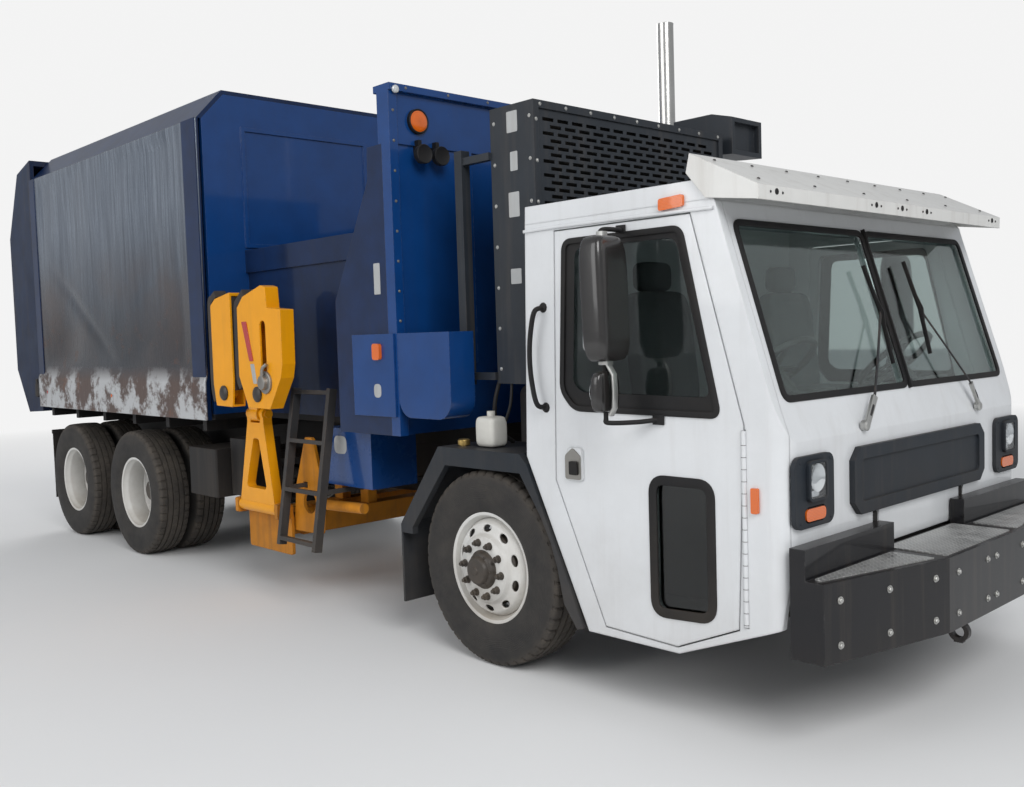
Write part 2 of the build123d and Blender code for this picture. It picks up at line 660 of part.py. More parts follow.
def door():
    """A door with both its windows cut and the barrel of its long hinge."""
    shut = offset(Polygon(*DOOR_OPENING, align=None), amount=-PANEL_GAP, kind=Kind.INTERSECTION)
    panel = slab_y(shut, -CAB_HALF, -CAB_HALF + DOOR_T)
    panel -= slab_y(outline(DOOR_WINDOW, 40), -CAB_HALF - 1, -CAB_HALF + DOOR_T + 1)
    panel -= slab_y(outline(LOW_WINDOW, 60), -CAB_HALF - 1, -CAB_HALF + DOOR_T + 1)
    panel += rod((DOOR_HINGE_X, -CAB_HALF, HINGE_Z[0]), (DOOR_HINGE_X, -CAB_HALF, HINGE_Z[1]), HINGE_R)
    handle = slab_y(outline([(620, 1055), (732, 1055), (732, 1215), (640, 1215)], 18),
                    -CAB_HALF - 14, -CAB_HALF + 4)
    return panel + handle


def door_glass():
    """The two panes of a door."""
    y0 = -CAB_HALF + 16
    panes = []
    for points, corner in ((DOOR_WINDOW, 40), (LOW_WINDOW, 60)):
        pane = offset(outline(points, corner), amount=-FIT)
        panes.append(slab_y(pane, y0, y0 + GLASS_T))
    return Compound(panes)


def door_mirror():
    """Tall mirror and round convex mirror on a tube bracket outside the door."""
    head_x, head_y = 1035.0, -CAB_HALF - MIRROR_OUT
    shell = outline([(-65, 1632), (65, 1632), (75, 2180), (-60, 2180)], 26)
    head = slab_y(Pos(head_x, 0) * shell, head_y - MIRROR_HALF, head_y + MIRROR_HALF)
    post = rod((head_x, head_y, 1360), (head_x, head_y, 1650), 11)
    low_arm = rod((head_x, head_y, 1371), (1190, -CAB_HALF - FIT, 1371), 11)
    top_arm = rod((head_x, head_y, 2120), (1000, -CAB_HALF - FIT, 2222), 11)
    small = rod((head_x - 35, head_y, 1500), (head_x + 30, head_y, 1500), 92)
    low_foot = block(1160, 1220, -CAB_HALF - 12, -CAB_HALF - FIT, 1345, 1392)
    top_foot = block(972, 1028, -CAB_HALF - 12, -CAB_HALF - FIT, 2204, 2240)
    bracket = joined(head, post, low_arm, top_arm, small, low_foot, top_foot)
    return bracket - block(800, 1400, -CAB_HALF - FIT, -CAB_HALF + 100, 1200, 2300)


# Front end

def front_bumper():
    """Swept bumper with guard blocks, tread plates on top and a tow plate below."""
    bend, corner = BUMPER_BEND_Y, BUMPER_HALF
    outer = [
        (BUMPER_BACK_X, -corner), (BUMPER_CORNER_X, -corner), (BUMPER_FRONT_X, -bend),
        (BUMPER_FRONT_X, bend), (BUMPER_CORNER_X, corner), (BUMPER_BACK_X, corner),
    ]
    hollow = offset(Polygon(*outer, align=None), amount=-BUMPER_T, kind=Kind.INTERSECTION)
    beam = slab_z(Polygon(*outer, align=None), BUMPER_LOW, BUMPER_TOP)
    beam -= slab_z(hollow, BUMPER_LOW - 1, BUMPER_TOP + 1)
    beam -= block(BUMPER_BACK_X - 1, BUMPER_BACK_X + BUMPER_T + 1, -corner + BUMPER_T,
                  corner - BUMPER_T, BUMPER_LOW - 1, BUMPER_TOP + 1)
    beam += slab_z(Polygon(*outer, align=None), BUMPER_TOP, BUMPER_TOP + 10)
    for y0, y1 in ((-BUMPER_HALF, -441), (299, BUMPER_HALF - GUARD_INSET)):
        beam += block(BUMPER_BACK_X, BUMPER_BACK_X + 70, y0, y1, BUMPER_TOP, GUARD_TOP)
    tow = block(BUMPER_FRONT_X - BUMPER_T, BUMPER_FRONT_X - 20, TOW_Y - TOW_PLATE_T / 2,
                TOW_Y + TOW_PLATE_T / 2, BUMPER_LOW - 90, BUMPER_LOW + 20)
    tow_z = BUMPER_LOW - 42
    tow_x = BUMPER_FRONT_X - 40
    tow += rod((tow_x, TOW_Y - TOW_PLATE_T / 2, tow_z), (tow_x, TOW_Y + TOW_PLATE_T / 2, tow_z), 46)
    tow -= rod((tow_x, TOW_Y - 40, tow_z), (tow_x, TOW_Y + 40, tow_z), TOW_HOLE_R)
    return beam + tow


def mudguard():
    """Right front mudguard: folded arch, skirt beside the cab, flap and bracket."""
    inner_y, outer_y = -CAB_HALF + 400, -CAB_HALF - 15
    upper = [(-700, 640), (-700, 700), (-345, 1160), (300, 1160)]
    under = [(300, 1150), (-340, 1150), (-690, 697), (-690, 640)]
    arch = slab_y(Polygon(*upper, *under, align=None), outer_y, inner_y)
    front = [(350, 1110), (629, 530), (712, 340), (672, 330), (590, 440)]
    lower = [(548, 620), (505, 740), (440, 860), (300, 1060), (-290, 1060), (-600, 680), (-600, 640)]
    skirt = slab_y(Polygon(*upper, *front, *lower, align=None), outer_y, outer_y + 40)
    flap = block(-714, -699, outer_y + 5, outer_y + 330, 230, 690)
    gusset = Polygon((-500, 890), (-440, 890), (-440, 1026), (-500, 948), align=None)
    bracket = slab_y(gusset, inner_y - 58, -RAIL_Y)
    return joined(arch, skirt, flap, bracket)


def cooling_box():
    """Radiator stack housing, open at the front behind its grille, on two posts."""
    x0, x1 = COOLER_X
    y0, y1 = COOLER_Y
    z0, z1 = COOLER_Z
    box = block(x0, x1, y0, y1, z0, z1)
    recess = 60.0
    box -= block(x1 - recess, x1 + 1, y0 + 40, y1 - 40, z0 + 40, z1 - 40)
    for side in (-1, 1):
        y = side * (RAIL_Y - RAIL_W / 2)
        box += block(60, 150, y - RAIL_W / 2, y + RAIL_W / 2, RAIL_TOP, z0)
    tube = block(-330, -270, -1030, -970, 1490, 2780)
    link = [block(-271, x0 + 1, -1020, -980, z, z + 40) for z in (1520, 2700)]
    return joined(box, tube, *link)


def cooling_grille():
    """Pressed plate with staggered slots over the radiator stack."""
    x1 = COOLER_X[1] - 12
    y0, y1 = COOLER_Y[0] + 40 + FIT, COOLER_Y[1] - 40 - FIT
    z0, z1 = COOLER_Z[0] + 40 + FIT, COOLER_Z[1] - 40 - FIT
    plate = block(x1 - GRILLE_T, x1, y0, y1, z0, z1)
    long, tall = GRILLE_SLOT
    step_y, step_z = GRILLE_PITCH
    cutters = []
    row = 0
    z = z1 - 50
    while z > GRILLE_LOW:
        y = y0 + 80 + (row % 2) * step_y / 2
        while y + long / 2 < y1 - 20:
            slot = Box(GRILLE_T + 4, long, tall)
            cutters.append(Pos(x1 - GRILLE_T / 2, y, z) * slot)
            y += step_y
        z -= step_z
        row += 1
    return plate - Compound(cutters)


def air_intake():
    """Scoop beside the cooling stack on its duct down to the engine bay."""
    duct_x = -30.0
    scoop = [(-150, 2890), (150, 2860), (300, 2850), (300, 3080), (150, 3120), (-150, 3120)]
    head = slab_y(Polygon(*scoop, align=None), 720, 1050)
    head -= block(262, 301, 750, 1020, 2880, 3052)
    duct = rod((duct_x, 885, 1300), (duct_x, 885, 2900), 75)
    foot = block(duct_x - 75, duct_x + 75, RAIL_Y, 960, 1240, 1300)
    leg = block(duct_x - 75, duct_x + 75, RAIL_Y - RAIL_W, RAIL_Y, RAIL_TOP, 1300)
    return joined(head, duct, foot, leg)


def exhaust_stack():
    """Upright stack over its silencer, on a bracket from the left rail."""
    pipe = rod((STACK_X, STACK_Y, 2300), (STACK_X, STACK_Y, STACK_TOP), STACK_R)
    pipe -= rod((STACK_X, STACK_Y, 2600), (STACK_X, STACK_Y, STACK_TOP + 1), STACK_R - 4)
    body = rod((STACK_X, STACK_Y, 1250), (STACK_X, STACK_Y, 2300), MUFFLER_R)
    bracket = block(STACK_X - 60, STACK_X + 60, RAIL_Y, STACK_Y + 60, 1210, 1250)
    leg = block(STACK_X - 60, STACK_X + 60, RAIL_Y - RAIL_W, RAIL_Y, RAIL_TOP, 1250)
    return joined(pipe, body, bracket, leg)


def fuel_tank():
    """Left-hand tank with rounded corners, on two brackets."""
    y0, y1 = RAIL_Y + 90, BODY_HALF - 120
    tank = block(-1980, -900, y0, y1, 420, 960)
    tank = fillet(tank.edges().filter_by(Axis.X), 110)
    for x in (-1760, -1120):
        tank += block(x - 35, x + 35, RAIL_Y, y0 + 1, 560, 1000)
    tank += rod((-1300, y1 - 160, 950), (-1300, y1 - 160, 1000), 50)
    return tank


def tool_boxes():
    """Two side boxes between the arm and the rear wheels, hung from the right rail."""
    boxes = []
    # each box: rear X, front X, inset from the body's side, low Z, top Z
    sizes = ((-3400, -2960, 20, 620, 980), (-2930, -2700, 120, 640, 1060))
    y1 = -RAIL_Y - 370
    for x0, x1, inset, z0, z1 in sizes:
        y0 = -BODY_HALF + inset
        part = fillet(block(x0, x1, y0, y1, z0, z1).edges().filter_by(Axis.Z), 15)
        part += block((x0 + x1) / 2 - 40, (x0 + x1) / 2 + 40, y1 - 1, -RAIL_Y, 880, 940)
        boxes.append(part)
    return Compound(boxes)


def side_ladder():
    """Leaning access ladder beside the arm, on two arms from the right rail."""
    x0, x1, low, high = LADDER
    half = LADDER_BAR / 2
    ladder = block(x0, x0 + 36, -half, half, low, high) + block(x1 - 36, x1, -half, half, low, high)
    for step in range(4):
        z = low + 30 + step * (high - low - 70) / 3
        ladder += block(x0 + 35, x1 - 35, -half, half, z, z + 26)
    middle = (low + high) / 2
    ladder = Pos(0, LADDER_Y, middle) * Rot(-LADDER_LEAN, 0, 0) * Pos(0, 0, -middle) * ladder
    for x in (x0, x1 - 36):
        ladder += block(x, x + 36, LADDER_Y - 10, -RAIL_Y, RAIL_LOW + 4, RAIL_LOW + 30)
    return ladder


# Bed

def bed_frame():
    """Long sills, cross bearers and the floor, cut away beside the arm."""
    floor = [
        (BODY_REAR_X, -BODY_HALF + BODY_WALL), (BODY_FRONT_X, -BODY_HALF + BODY_WALL),
        (BODY_FRONT_X, -RECESS_Y), (RECESS_FRONT_X, -RECESS_Y),
        (RECESS_FRONT_X, -BODY_HALF + BODY_WALL), (HOPPER_FRONT_X - BODY_WALL, -BODY_HALF + BODY_WALL),
        (HOPPER_FRONT_X - BODY_WALL, BODY_HALF - BODY_WALL), (BODY_REAR_X, BODY_HALF - BODY_WALL),
    ]
    frame = slab_z(Polygon(*floor, align=None), FLOOR_LOW, FLOOR_TOP)
    for side in (-1, 1):
        y0, y1 = side * (RAIL_Y - RAIL_W), side * RAIL_Y
        frame += block(BODY_REAR_X, HOPPER_FRONT_X - BODY_WALL, y0, y1, SILL_LOW, FLOOR_LOW)
        back, ahead = BED_PIVOT[0] - BED_LUG_HALF, BED_PIVOT[0] + BED_LUG_HALF
        lug = [(back, FLOOR_LOW + 20), (back, 950), (ahead, 950), (ahead + 100, FLOOR_LOW + 20)]
        frame += slab_y(Polygon(*lug, align=None), side * (RAIL_Y + 8), side * (RAIL_Y + 42))
    x = BODY_REAR_X + 120
    while x < BODY_FRONT_X - 60:
        frame += block(x, x + 60, -BODY_HALF + BODY_WALL, BODY_HALF - BODY_WALL, 1110, FLOOR_LOW)
        x += 640
    pivot = rod((BED_PIVOT[0], -600, BED_PIVOT[1]), (BED_PIVOT[0], 600, BED_PIVOT[1]), BED_PIN_R + PIN_FIT)
    return frame - pivot


def body_side():
    """Right side of the packer body: smooth sheet, worn ledge, front and rear posts."""
    section = [
        (-BODY_HALF + BODY_WALL, FLOOR_LOW), (-LEDGE_HALF, FLOOR_LOW), (-LEDGE_HALF, 1480),
        (-BODY_HALF, 1540), (-BODY_HALF, BODY_SIDE_TOP), (-BODY_HALF + BODY_WALL, BODY_SIDE_TOP),
    ]
    panel = slab_x(Polygon(*section, align=None), BODY_REAR_X, BODY_FRONT_X)
    for x0, x1 in ((BODY_REAR_X, BODY_REAR_X + 130), (BODY_FRONT_X - POST_W, BODY_FRONT_X)):
        panel += block(x0, x1, -LEDGE_HALF, -BODY_HALF, FLOOR_LOW, BODY_SIDE_TOP)
    return panel


def body_roof():
    """Chamfered roof with hoops where the posts are and the hinge ears behind."""
    wide, flat = BODY_HALF, ROOF_FLAT_HALF
    section = [
        (-wide, BODY_SIDE_TOP), (-flat, BODY_ROOF_Z), (flat, BODY_ROOF_Z), (wide, BODY_SIDE_TOP),
        (wide - BODY_WALL, BODY_SIDE_TOP), (flat - 12, BODY_ROOF_Z - ROOF_T),
        (-flat + 12, BODY_ROOF_Z - ROOF_T), (-wide + BODY_WALL, BODY_SIDE_TOP),
    ]
    roof = slab_x(Polygon(*section, align=None), BODY_REAR_X, BODY_FRONT_X)
    for y in (-760, 760):
        ear = [
            (BODY_REAR_X + 140, BODY_ROOF_Z - 4), (BODY_REAR_X, BODY_ROOF_Z - 4),
            (GATE_PIVOT[0] - 40, GATE_PIVOT[1] - 30), (GATE_PIVOT[0] - 40, GATE_PIVOT[1] + 40),
            (GATE_PIVOT[0] + 40, GATE_PIVOT[1] + 40),
        ]
        ear_part = slab_y(Polygon(*ear, align=None), y - 20, y + 20)
        pin = rod((GATE_PIVOT[0], y - 55, GATE_PIVOT[1]), (GATE_PIVOT[0], y + 55, GATE_PIVOT[1]), GATE_PIN_R)
        roof += ear_part + pin
    return roof


def body_front():
    """Bulkhead between hopper and body, with the packer's mouth and a panel frame above."""
    x0, x1 = BODY_FRONT_X - BODY_WALL, BODY_FRONT_X
    half = BODY_HALF - BODY_WALL
    top = BODY_ROOF_Z - ROOF_T
    outer = [
        (-half, FLOOR_TOP), (half, FLOOR_TOP), (half, BODY_SIDE_TOP), (ROOF_FLAT_HALF - 12, top),
        (-ROOF_FLAT_HALF + 12, top), (-half, BODY_SIDE_TOP),
    ]
    wall = slab_x(Polygon(*outer, align=None), x0, x1)
    wall -= block(x0 - 1, x1 + 1, -RECESS_Y + BODY_WALL, half - MOVE_GAP, FLOOR_TOP - 1, MOUTH_TOP)
    ring = block(x1, x1 + 14, -868, 271, SILL_Z + 20, 3380)
    ring -= block(x1 - 1, x1 + 15, -838, 241, SILL_Z + 50, 3350)
    return wall + ring


def hopper_front():
    """Front wall of the hopper with its header box, lip and upright posts."""
    x0, x1 = HOPPER_FRONT_X - BODY_WALL, HOPPER_FRONT_X
    wall = block(x0, x1, -BODY_HALF, BODY_HALF, FLOOR_LOW, HOPPER_TOP)
    header = block(x0 - 30, x1 + 14, -BODY_HALF, BODY_HALF, HOPPER_TOP, 3160)
    header += block(x0 - 60, x1 + 50, -BODY_HALF, BODY_HALF, 3160, HEADER_TOP)
    for side in (-1, 1):
        header += block(x1, x1 + 40, side * BODY_HALF, side * (BODY_HALF - 60), FLOOR_LOW, 3160)
    for y in (-640, 640):
        header += block(x1, x1 + 30, y - 40, y + 40, 1600, HOPPER_TOP)
    header += rod((x1 + 14, -BODY_HALF + 220, 3010), (x1 + 30, -BODY_HALF + 220, 3010), 70)
    return wall + header


def hopper_left():
    """Left wall of the hopper, with a stiffening band along its top."""
    y0, y1 = BODY_HALF - BODY_WALL, BODY_HALF
    wall = block(BODY_FRONT_X, HOPPER_FRONT_X - BODY_WALL, y0, y1, FLOOR_LOW, HOPPER_TOP)
    band = block(BODY_FRONT_X, HOPPER_FRONT_X - BODY_WALL, y1, y1 + 18, HOPPER_TOP - 150, HOPPER_TOP)
    for x in (-2600, -2000, -1400):
        band += block(x - 40, x + 40, y1, y1 + 18, FLOOR_LOW, HOPPER_TOP - 100)
    return wall + band


def hopper_right():
    """Recessed right wall under the loading sill, its return and the corner plate."""
    y0, y1 = -RECESS_Y, -RECESS_Y + BODY_WALL
    wall = block(BODY_FRONT_X, RECESS_FRONT_X, y0, y1, FLOOR_TOP, SILL_Z - SILL_BAND)
    band = block(BODY_FRONT_X, RECESS_FRONT_X, y0 - 22, y1, SILL_Z - SILL_BAND, SILL_Z)
    back = block(RECESS_FRONT_X, RECESS_FRONT_X + BODY_WALL, -BODY_HALF + BODY_WALL, y1, FLOOR_TOP, 2060)
    plate = [
        (HOPPER_FRONT_X - BODY_WALL, FLOOR_LOW), (HOPPER_FRONT_X - BODY_WALL, HOPPER_TOP),
        (-880, HOPPER_TOP), (-890, 2680), (RECESS_FRONT_X, 2000), (RECESS_FRONT_X, FLOOR_LOW),
    ]
    corner = slab_y(Polygon(*plate, align=None), -BODY_HALF, -BODY_HALF + BODY_WALL)
    return joined(wall, band, back, corner)


def valve_cabinet():
    """Valve box on the hopper's front corner, with the smaller box below it."""
    y0, y1 = -BODY_HALF - FIT, -BODY_HALF - 14
    low, high = CABINET_Z
    upper = block(HOPPER_FRONT_X + 40 + FIT, -200, -BODY_HALF, -BODY_HALF + 175, low, high)
    upper = fillet(upper.edges().filter_by(Axis.Y).filter_by(lambda edge: edge.center().Z < low + 1), 110)
    upper += block(HOPPER_FRONT_X, HOPPER_FRONT_X + 80, -BODY_HALF + 70, -BODY_HALF + 160, 1340, 1760)
    lower = block(-1650, -1140, -BODY_HALF + 130, -RECESS_Y + 110, 830, FLOOR_LOW)
    lid = block(-1090, HOPPER_FRONT_X + 20, y0, y1, low, high)
    return Compound([upper, lower, lid])


def packer():
    """Packing ram's blade, which sweeps the hopper floor towards the body."""
    y0, y1 = -RECESS_Y + BODY_WALL + MOVE_GAP, BODY_HALF - BODY_WALL - MOVE_GAP
    front = RECESS_FRONT_X + 330
    profile = [
        (front, FLOOR_TOP + FIT), (front - PACKER_T, FLOOR_TOP + FIT), (front - PACKER_T, PACKER_TOP - 200),
        (front - 60, PACKER_TOP), (front, PACKER_TOP),
    ]
    blade = slab_y(Polygon(*profile, align=None), y0, y1)
    for y in (-400, 200, 800):
        blade += block(front, front + 60, y - 30, y + 30, FLOOR_TOP + FIT, PACKER_TOP - 100)
    return blade


def tailgate():
    """Bulged hollow tailgate, hung from the roof ears."""
    front = BODY_REAR_X - GATE_GAP
    side = [
        (front, 1150), (-6900, 1130), (REAR_X, 1560), (REAR_X, 2900), (-6880, 3520), (front, 3610),
    ]
    face = Polygon(*side, align=None)
    shell = slab_y(face, -BODY_HALF, BODY_HALF)
    inner = [
        (front + 1, 1250), (-6880, 1240), (REAR_X + 40, 1600), (REAR_X + 40, 2880), (-6860, 3478),
        (front + 1, 3560),
    ]
    shell -= slab_y(Polygon(*inner, align=None), -BODY_HALF + 40, BODY_HALF - 40)
    for y in (-900, 0, 900):
        rib = [(-6900, 1130), (REAR_X, 1560), (REAR_X, 2900), (-6880, 3520), (-6860, 3500),
               (REAR_X + 30, 2890), (REAR_X + 30, 1580), (-6880, 1160)]
        shell += slab_y(Polygon(*rib, align=None), y - 45, y + 45)
    for y in (-760, 760):
        for side_y in (y - 52, y + 26):
            arm = [(-6760, 3548), (front - 10, 3600), (GATE_PIVOT[0] + 34, GATE_PIVOT[1] + 30),
                   (GATE_PIVOT[0] - 34, GATE_PIVOT[1] + 34), (-6780, 3620)]
            part = slab_y(Polygon(*arm, align=None), side_y, side_y + 26)
            shell += part
        shell -= rod((GATE_PIVOT[0], y - 60, GATE_PIVOT[1]), (GATE_PIVOT[0], y + 60, GATE_PIVOT[1]),
                     GATE_PIN_R + PIN_FIT)
    return shell


# Arm

def arm_base():
    """Fixed crosswise tubes under the rails, with hangers and the side brace."""
    low, top = ARM_TUBE_LOW, ARM_TUBE_LOW + ARM_TUBE
    parts = []
    for x in ARM_TUBES_X:
        tube = block(x - ARM_TUBE / 2, x + ARM_TUBE / 2, -ARM_TUBE_HALF, ARM_TUBE_HALF, low, top)
        bore = ARM_TUBE / 2 - ARM_TUBE_WALL
        middle = (low + top) / 2
        tube -= block(x - bore, x + bore, -ARM_TUBE_HALF - 1, ARM_TUBE_HALF + 1, middle - bore, middle + bore)
        for side in (-1, 1):
            tube += block(x - 50, x + 50, side * (RAIL_Y - RAIL_W), side * RAIL_Y, top, RAIL_LOW)
        parts.append(tube)
    x0, x1 = ARM_TUBES_X[0] + ARM_TUBE / 2, ARM_TUBES_X[1] - ARM_TUBE / 2
    for side in (-1, 1):
        parts.append(block(x0 - 1, x1 + 1, side * 380, side * 440, low + 20, top - 20))
    brace = outline([
        (-2080, 470), (-1730, 480), (-1690, 760), (-1810, 1120), (-1900, 1120), (-2030, 790),
    ], 25)
    plate_y = -ARM_TUBE_HALF - BRACE_OUT
    bar_y = (-ARM_TUBE_HALF + 10, -ARM_TUBE_HALF + 90)
    plate = slab_y(brace, plate_y, plate_y + 22)
    plate -= slab_y(Pos(-1870, 680) * Circle(75), plate_y - 1, plate_y + 23)
    slot_x, slot_z = LADDER[0] - PANEL_GAP, RAIL_LOW + 4 - PANEL_GAP
    plate -= block(slot_x, slot_x + 36 + 2 * PANEL_GAP, plate_y - 1, plate_y + 23, slot_z, slot_z + 38)
    parts.append(plate)
    parts.append(rod((-1855, plate_y + 21, 900), (-1855, -RAIL_Y, 900), 42))
    parts.append(rod((-2010, plate_y + 11, 600), (-2010, bar_y[0] + 50, 600), 30))
    parts.append(block(-1975, ARM_TUBES_X[1] + ARM_TUBE / 2 - 1, *bar_y, 500, 550))
    parts.append(block(-2045, -1975, *bar_y, 500, 640))
    parts.append(rod((-1750, plate_y + 11, 680), (-1250, plate_y + 11, 700), 34))
    return joined(*parts)


def arm_carriage():
    """Sliding tubes with the outer frame, its foot and the ears of the lift pivot."""
    half = ARM_TUBE / 2 - ARM_TUBE_WALL - FIT
    middle = ARM_TUBE_LOW + ARM_TUBE / 2
    py, pz = LIFT_PIVOT
    plate_y = -ARM_TUBE_HALF - 122
    parts = []
    for x in ARM_TUBES_X:
        tube = block(x - half, x + half, plate_y + 12, ARM_TUBE_HALF - 60, middle - half, middle + half)
        bore = half - 9
        tube -= block(x - bore, x + bore, plate_y + 32, ARM_TUBE_HALF - 59, middle - bore, middle + bore)
        parts.append(tube)
    frame = outline([(-2640, 300), (-2060, 300), (-2060, 575), (-2200, 640), (-2500, 640), (-2640, 575)], 20)
    parts.append(slab_y(frame, plate_y, plate_y + 22))
    ear = [(py - 48, pz - 62), (py + 76, pz - 62), (py + 76, pz + 20), (py + 30, pz + 50), (py - 48, pz + 40)]
    for x in (-2640, -2100):
        parts.append(slab_x(outline(ear, 12), x, x + 40))
    parts.append(rod((-2641, py, pz), (-2059, py, pz), LIFT_PIN_R))
    return joined(*parts)


def lift_arm():
    """Tapered A-frame from the lift pivot up to the rotary head."""
    py, pz = LIFT_PIVOT
    ty, tz = TILT_PIVOT
    x0, x1 = TILT_X
    shape = outline([(-2590, pz - 5), (-2110, pz - 5), (x1, tz - 60), (x0, tz - 60)], 20)
    window = outline([(-2490, 750), (-2210, 750), (-2295, 1100), (-2365, 1100)], 25)
    mast = slab_y(shape, py - 34, py + 34) - slab_y(window, py - 35, py + 35)
    mast += rod((-2592, py, pz), (-2108, py, pz), 46)
    mast -= rod((-2600, py, pz), (-2100, py, pz), LIFT_PIN_R + PIN_FIT)
    for x in (x0, x1 - TILT_EAR):
        mast += block(x, x + TILT_EAR, ty - 34, ty + 34, tz - 90, tz - 10)
        mast += rod((x, ty, tz), (x + TILT_EAR, ty, tz), 42)
    return mast + rod((x0 - 8, ty, tz), (x1 + 8, ty, tz), TILT_PIN_R)


def gripper_head():
    """Head turning on the arm's top, with a pin for each finger."""
    ty, tz = TILT_PIVOT
    x0, x1 = TILT_X[0] + TILT_EAR + 5, TILT_X[1] - TILT_EAR - 5
    plate_y = (FINGER_Y[1] + 4, FINGER_Y[1] + 20)
    hub = rod((x0, ty, tz), (x1, ty, tz), TILT_R)
    neck = slab_x(Polygon(
        (ty - 40, tz), (ty + 40, tz), (ty + 20, 1500), (plate_y[0], 1520), (plate_y[0], 1400),
        align=None), x0, x1)
    bar = block(-2570, -1970, *plate_y, 1370, 1520)
    head = joined(hub, neck, bar)
    head -= rod((x0 - 5, ty, tz), (x1 + 5, ty, tz), TILT_PIN_R + PIN_FIT)
    for x, z in FINGER_PINS.values():
        head += rod((x, plate_y[1], z), (x, FINGER_Y[0] - 12, z), FINGER_PIN_R)
    return head


def finger(name):
    """A hollow finger: two cheeks joined by the spine on its outer side."""
    x, z = FINGER_PINS[name]
    y0, y1 = FINGER_Y
    shapes = {
        "front": [(x - 130, z - 90), (x + 150, z - 95), (x + 300, z + 110), (x + 325, 1620), (x + 330, 1970),
                  (x + 160, 1985), (x + 148, 2122), (x + 90, 2135), (x - 150, 2072), (x - 232, 2000),
                  (x - 240, z + 120)],
        "rear": [(x - 120, z - 90), (x + 110, z - 95), (x + 132, z + 80), (x + 132, 2110), (x - 80, 2075),
                 (x - 150, 2030), (x - 150, z + 60)],
    }
    face = outline(shapes[name], 8)
    part = slab_y(face, y0, y1)
    hollow = offset(Polygon(*shapes[name], align=None), amount=-FINGER_WALL, kind=Kind.INTERSECTION)
    pocket = slab_y(hollow, y0 + FINGER_WALL, y1 - FINGER_WALL)
    shift = -60 if name == "front" else 60
    part -= pocket + Pos(shift, 0, 0) * pocket
    part += rod((x, y0, z), (x, y1, z), 44)
    part -= rod((x, y0 - 1, z), (x, y1 + 1, z), FINGER_PIN_R + PIN_FIT)
    if name == "front":
        slot = Pos(x + 95, 1715) * Rot(0, 0, 90) * SlotOverall(380, 74)
        part -= slab_y(slot, y0 - 1, y0 + FINGER_WALL + 1)
    return part


def place_wheel(part, x, y):
    """Set a wheel at its hub; its outer face looks away from the truck."""
    turn = 180 if y < 0 else 0
    return Pos(x, y, HUB_Z) * Rot(0, 0, turn) * part


def build():
    """All the pieces by their node names."""
    nodes = {
        "frame_rails": frame_rails(),
        "crossmembers": crossmembers(),
        "front_axle": front_axle(),
        "drive_axles": drive_axles(),
        "engine": engine(),
        "front_bumper": front_bumper(),
        "mudguards": both_sides(mudguard()),
        "cooling_box": cooling_box(),
        "cooling_grille": cooling_grille(),
        "air_intake": air_intake(),
        "exhaust_stack": exhaust_stack(),
        "fuel_tank": fuel_tank(),
        "tool_boxes": tool_boxes(),
        "side_ladder": side_ladder(),
        "arm_base": arm_base(),
        "arm_carriage": arm_carriage(),
        "lift_arm": lift_arm(),
        "gripper_head": gripper_head(),
        "finger_front": finger("front"),
        "finger_rear": finger("rear"),
        "knuckle_right": knuckle(),
        "knuckle_left": left_of(knuckle()),
    }
    tyre, wheel = tyre_ring(), front_wheel()
    tyres, wheels = dual_tyres(), dual_wheels()
    pair_y = REAR_WHEEL_Y - DUAL_SPACING / 2
    for side, way in (("right", -1), ("left", 1)):
        nodes[f"front_tyre_{side}"] = place_wheel(tyre, 0, way * FRONT_WHEEL_Y)
        nodes[f"front_wheel_{side}"] = place_wheel(wheel, 0, way * FRONT_WHEEL_Y)
        for axle, x in zip(("mid", "rear"), REAR_AXLES_X):
            nodes[f"{axle}_tyres_{side}"] = place_wheel(tyres, x, way * pair_y)
            nodes[f"{axle}_wheels_{side}"] = place_wheel(wheels, x, way * pair_y)
    roof, back, front, frame = cab_panels()
    nodes |= {
        "cab_roof": roof,
        "cab_back": back,
        "cab_front": front,
        "cab_sides": both_sides(frame),
        "cab_floor": cab_floor(),
        "windscreen": windscreen(),
        "sun_visor": sun_visor(roof),
        "grille_panel": grille_panel(),
        "dashboard": dashboard(),
        "seats": seats(),
        "door_right": door(),
        "door_left": left_of(door()),
        "door_glass_right": door_glass(),
        "door_glass_left": left_of(door_glass()),
        "mirror_right": door_mirror(),
        "mirror_left": left_of(door_mirror()),
        "bed_frame": bed_frame(),
        "body_sides": both_sides(body_side()),
        "body_roof": body_roof(),
        "body_front": body_front(),
        "hopper_front": hopper_front(),
        "hopper_left": hopper_left(),
        "hopper_right": hopper_right(),
        "valve_cabinet": valve_cabinet(),
        "packer": packer(),
        "tailgate": tailgate(),
    }
    return nodes


os.makedirs("parts", exist_ok=True)
for name, piece in build().items():
    export_step(Pos(-ORIGIN_X, 0, 0) * piece, f"parts/{name}.step")
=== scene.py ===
"""Looks of a side-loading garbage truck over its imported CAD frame.

Metres. Sizes are written as X forward from the front axle, Y to the truck's left and Z up from the ground,
as in the part's source; `AXLE_X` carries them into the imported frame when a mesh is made.
"""

import logging
import math
from dataclasses import dataclass, field
from enum import Enum
from typing import ClassVar

import bmesh
import bpy
import numpy as np
from mathutils import Matrix, Vector

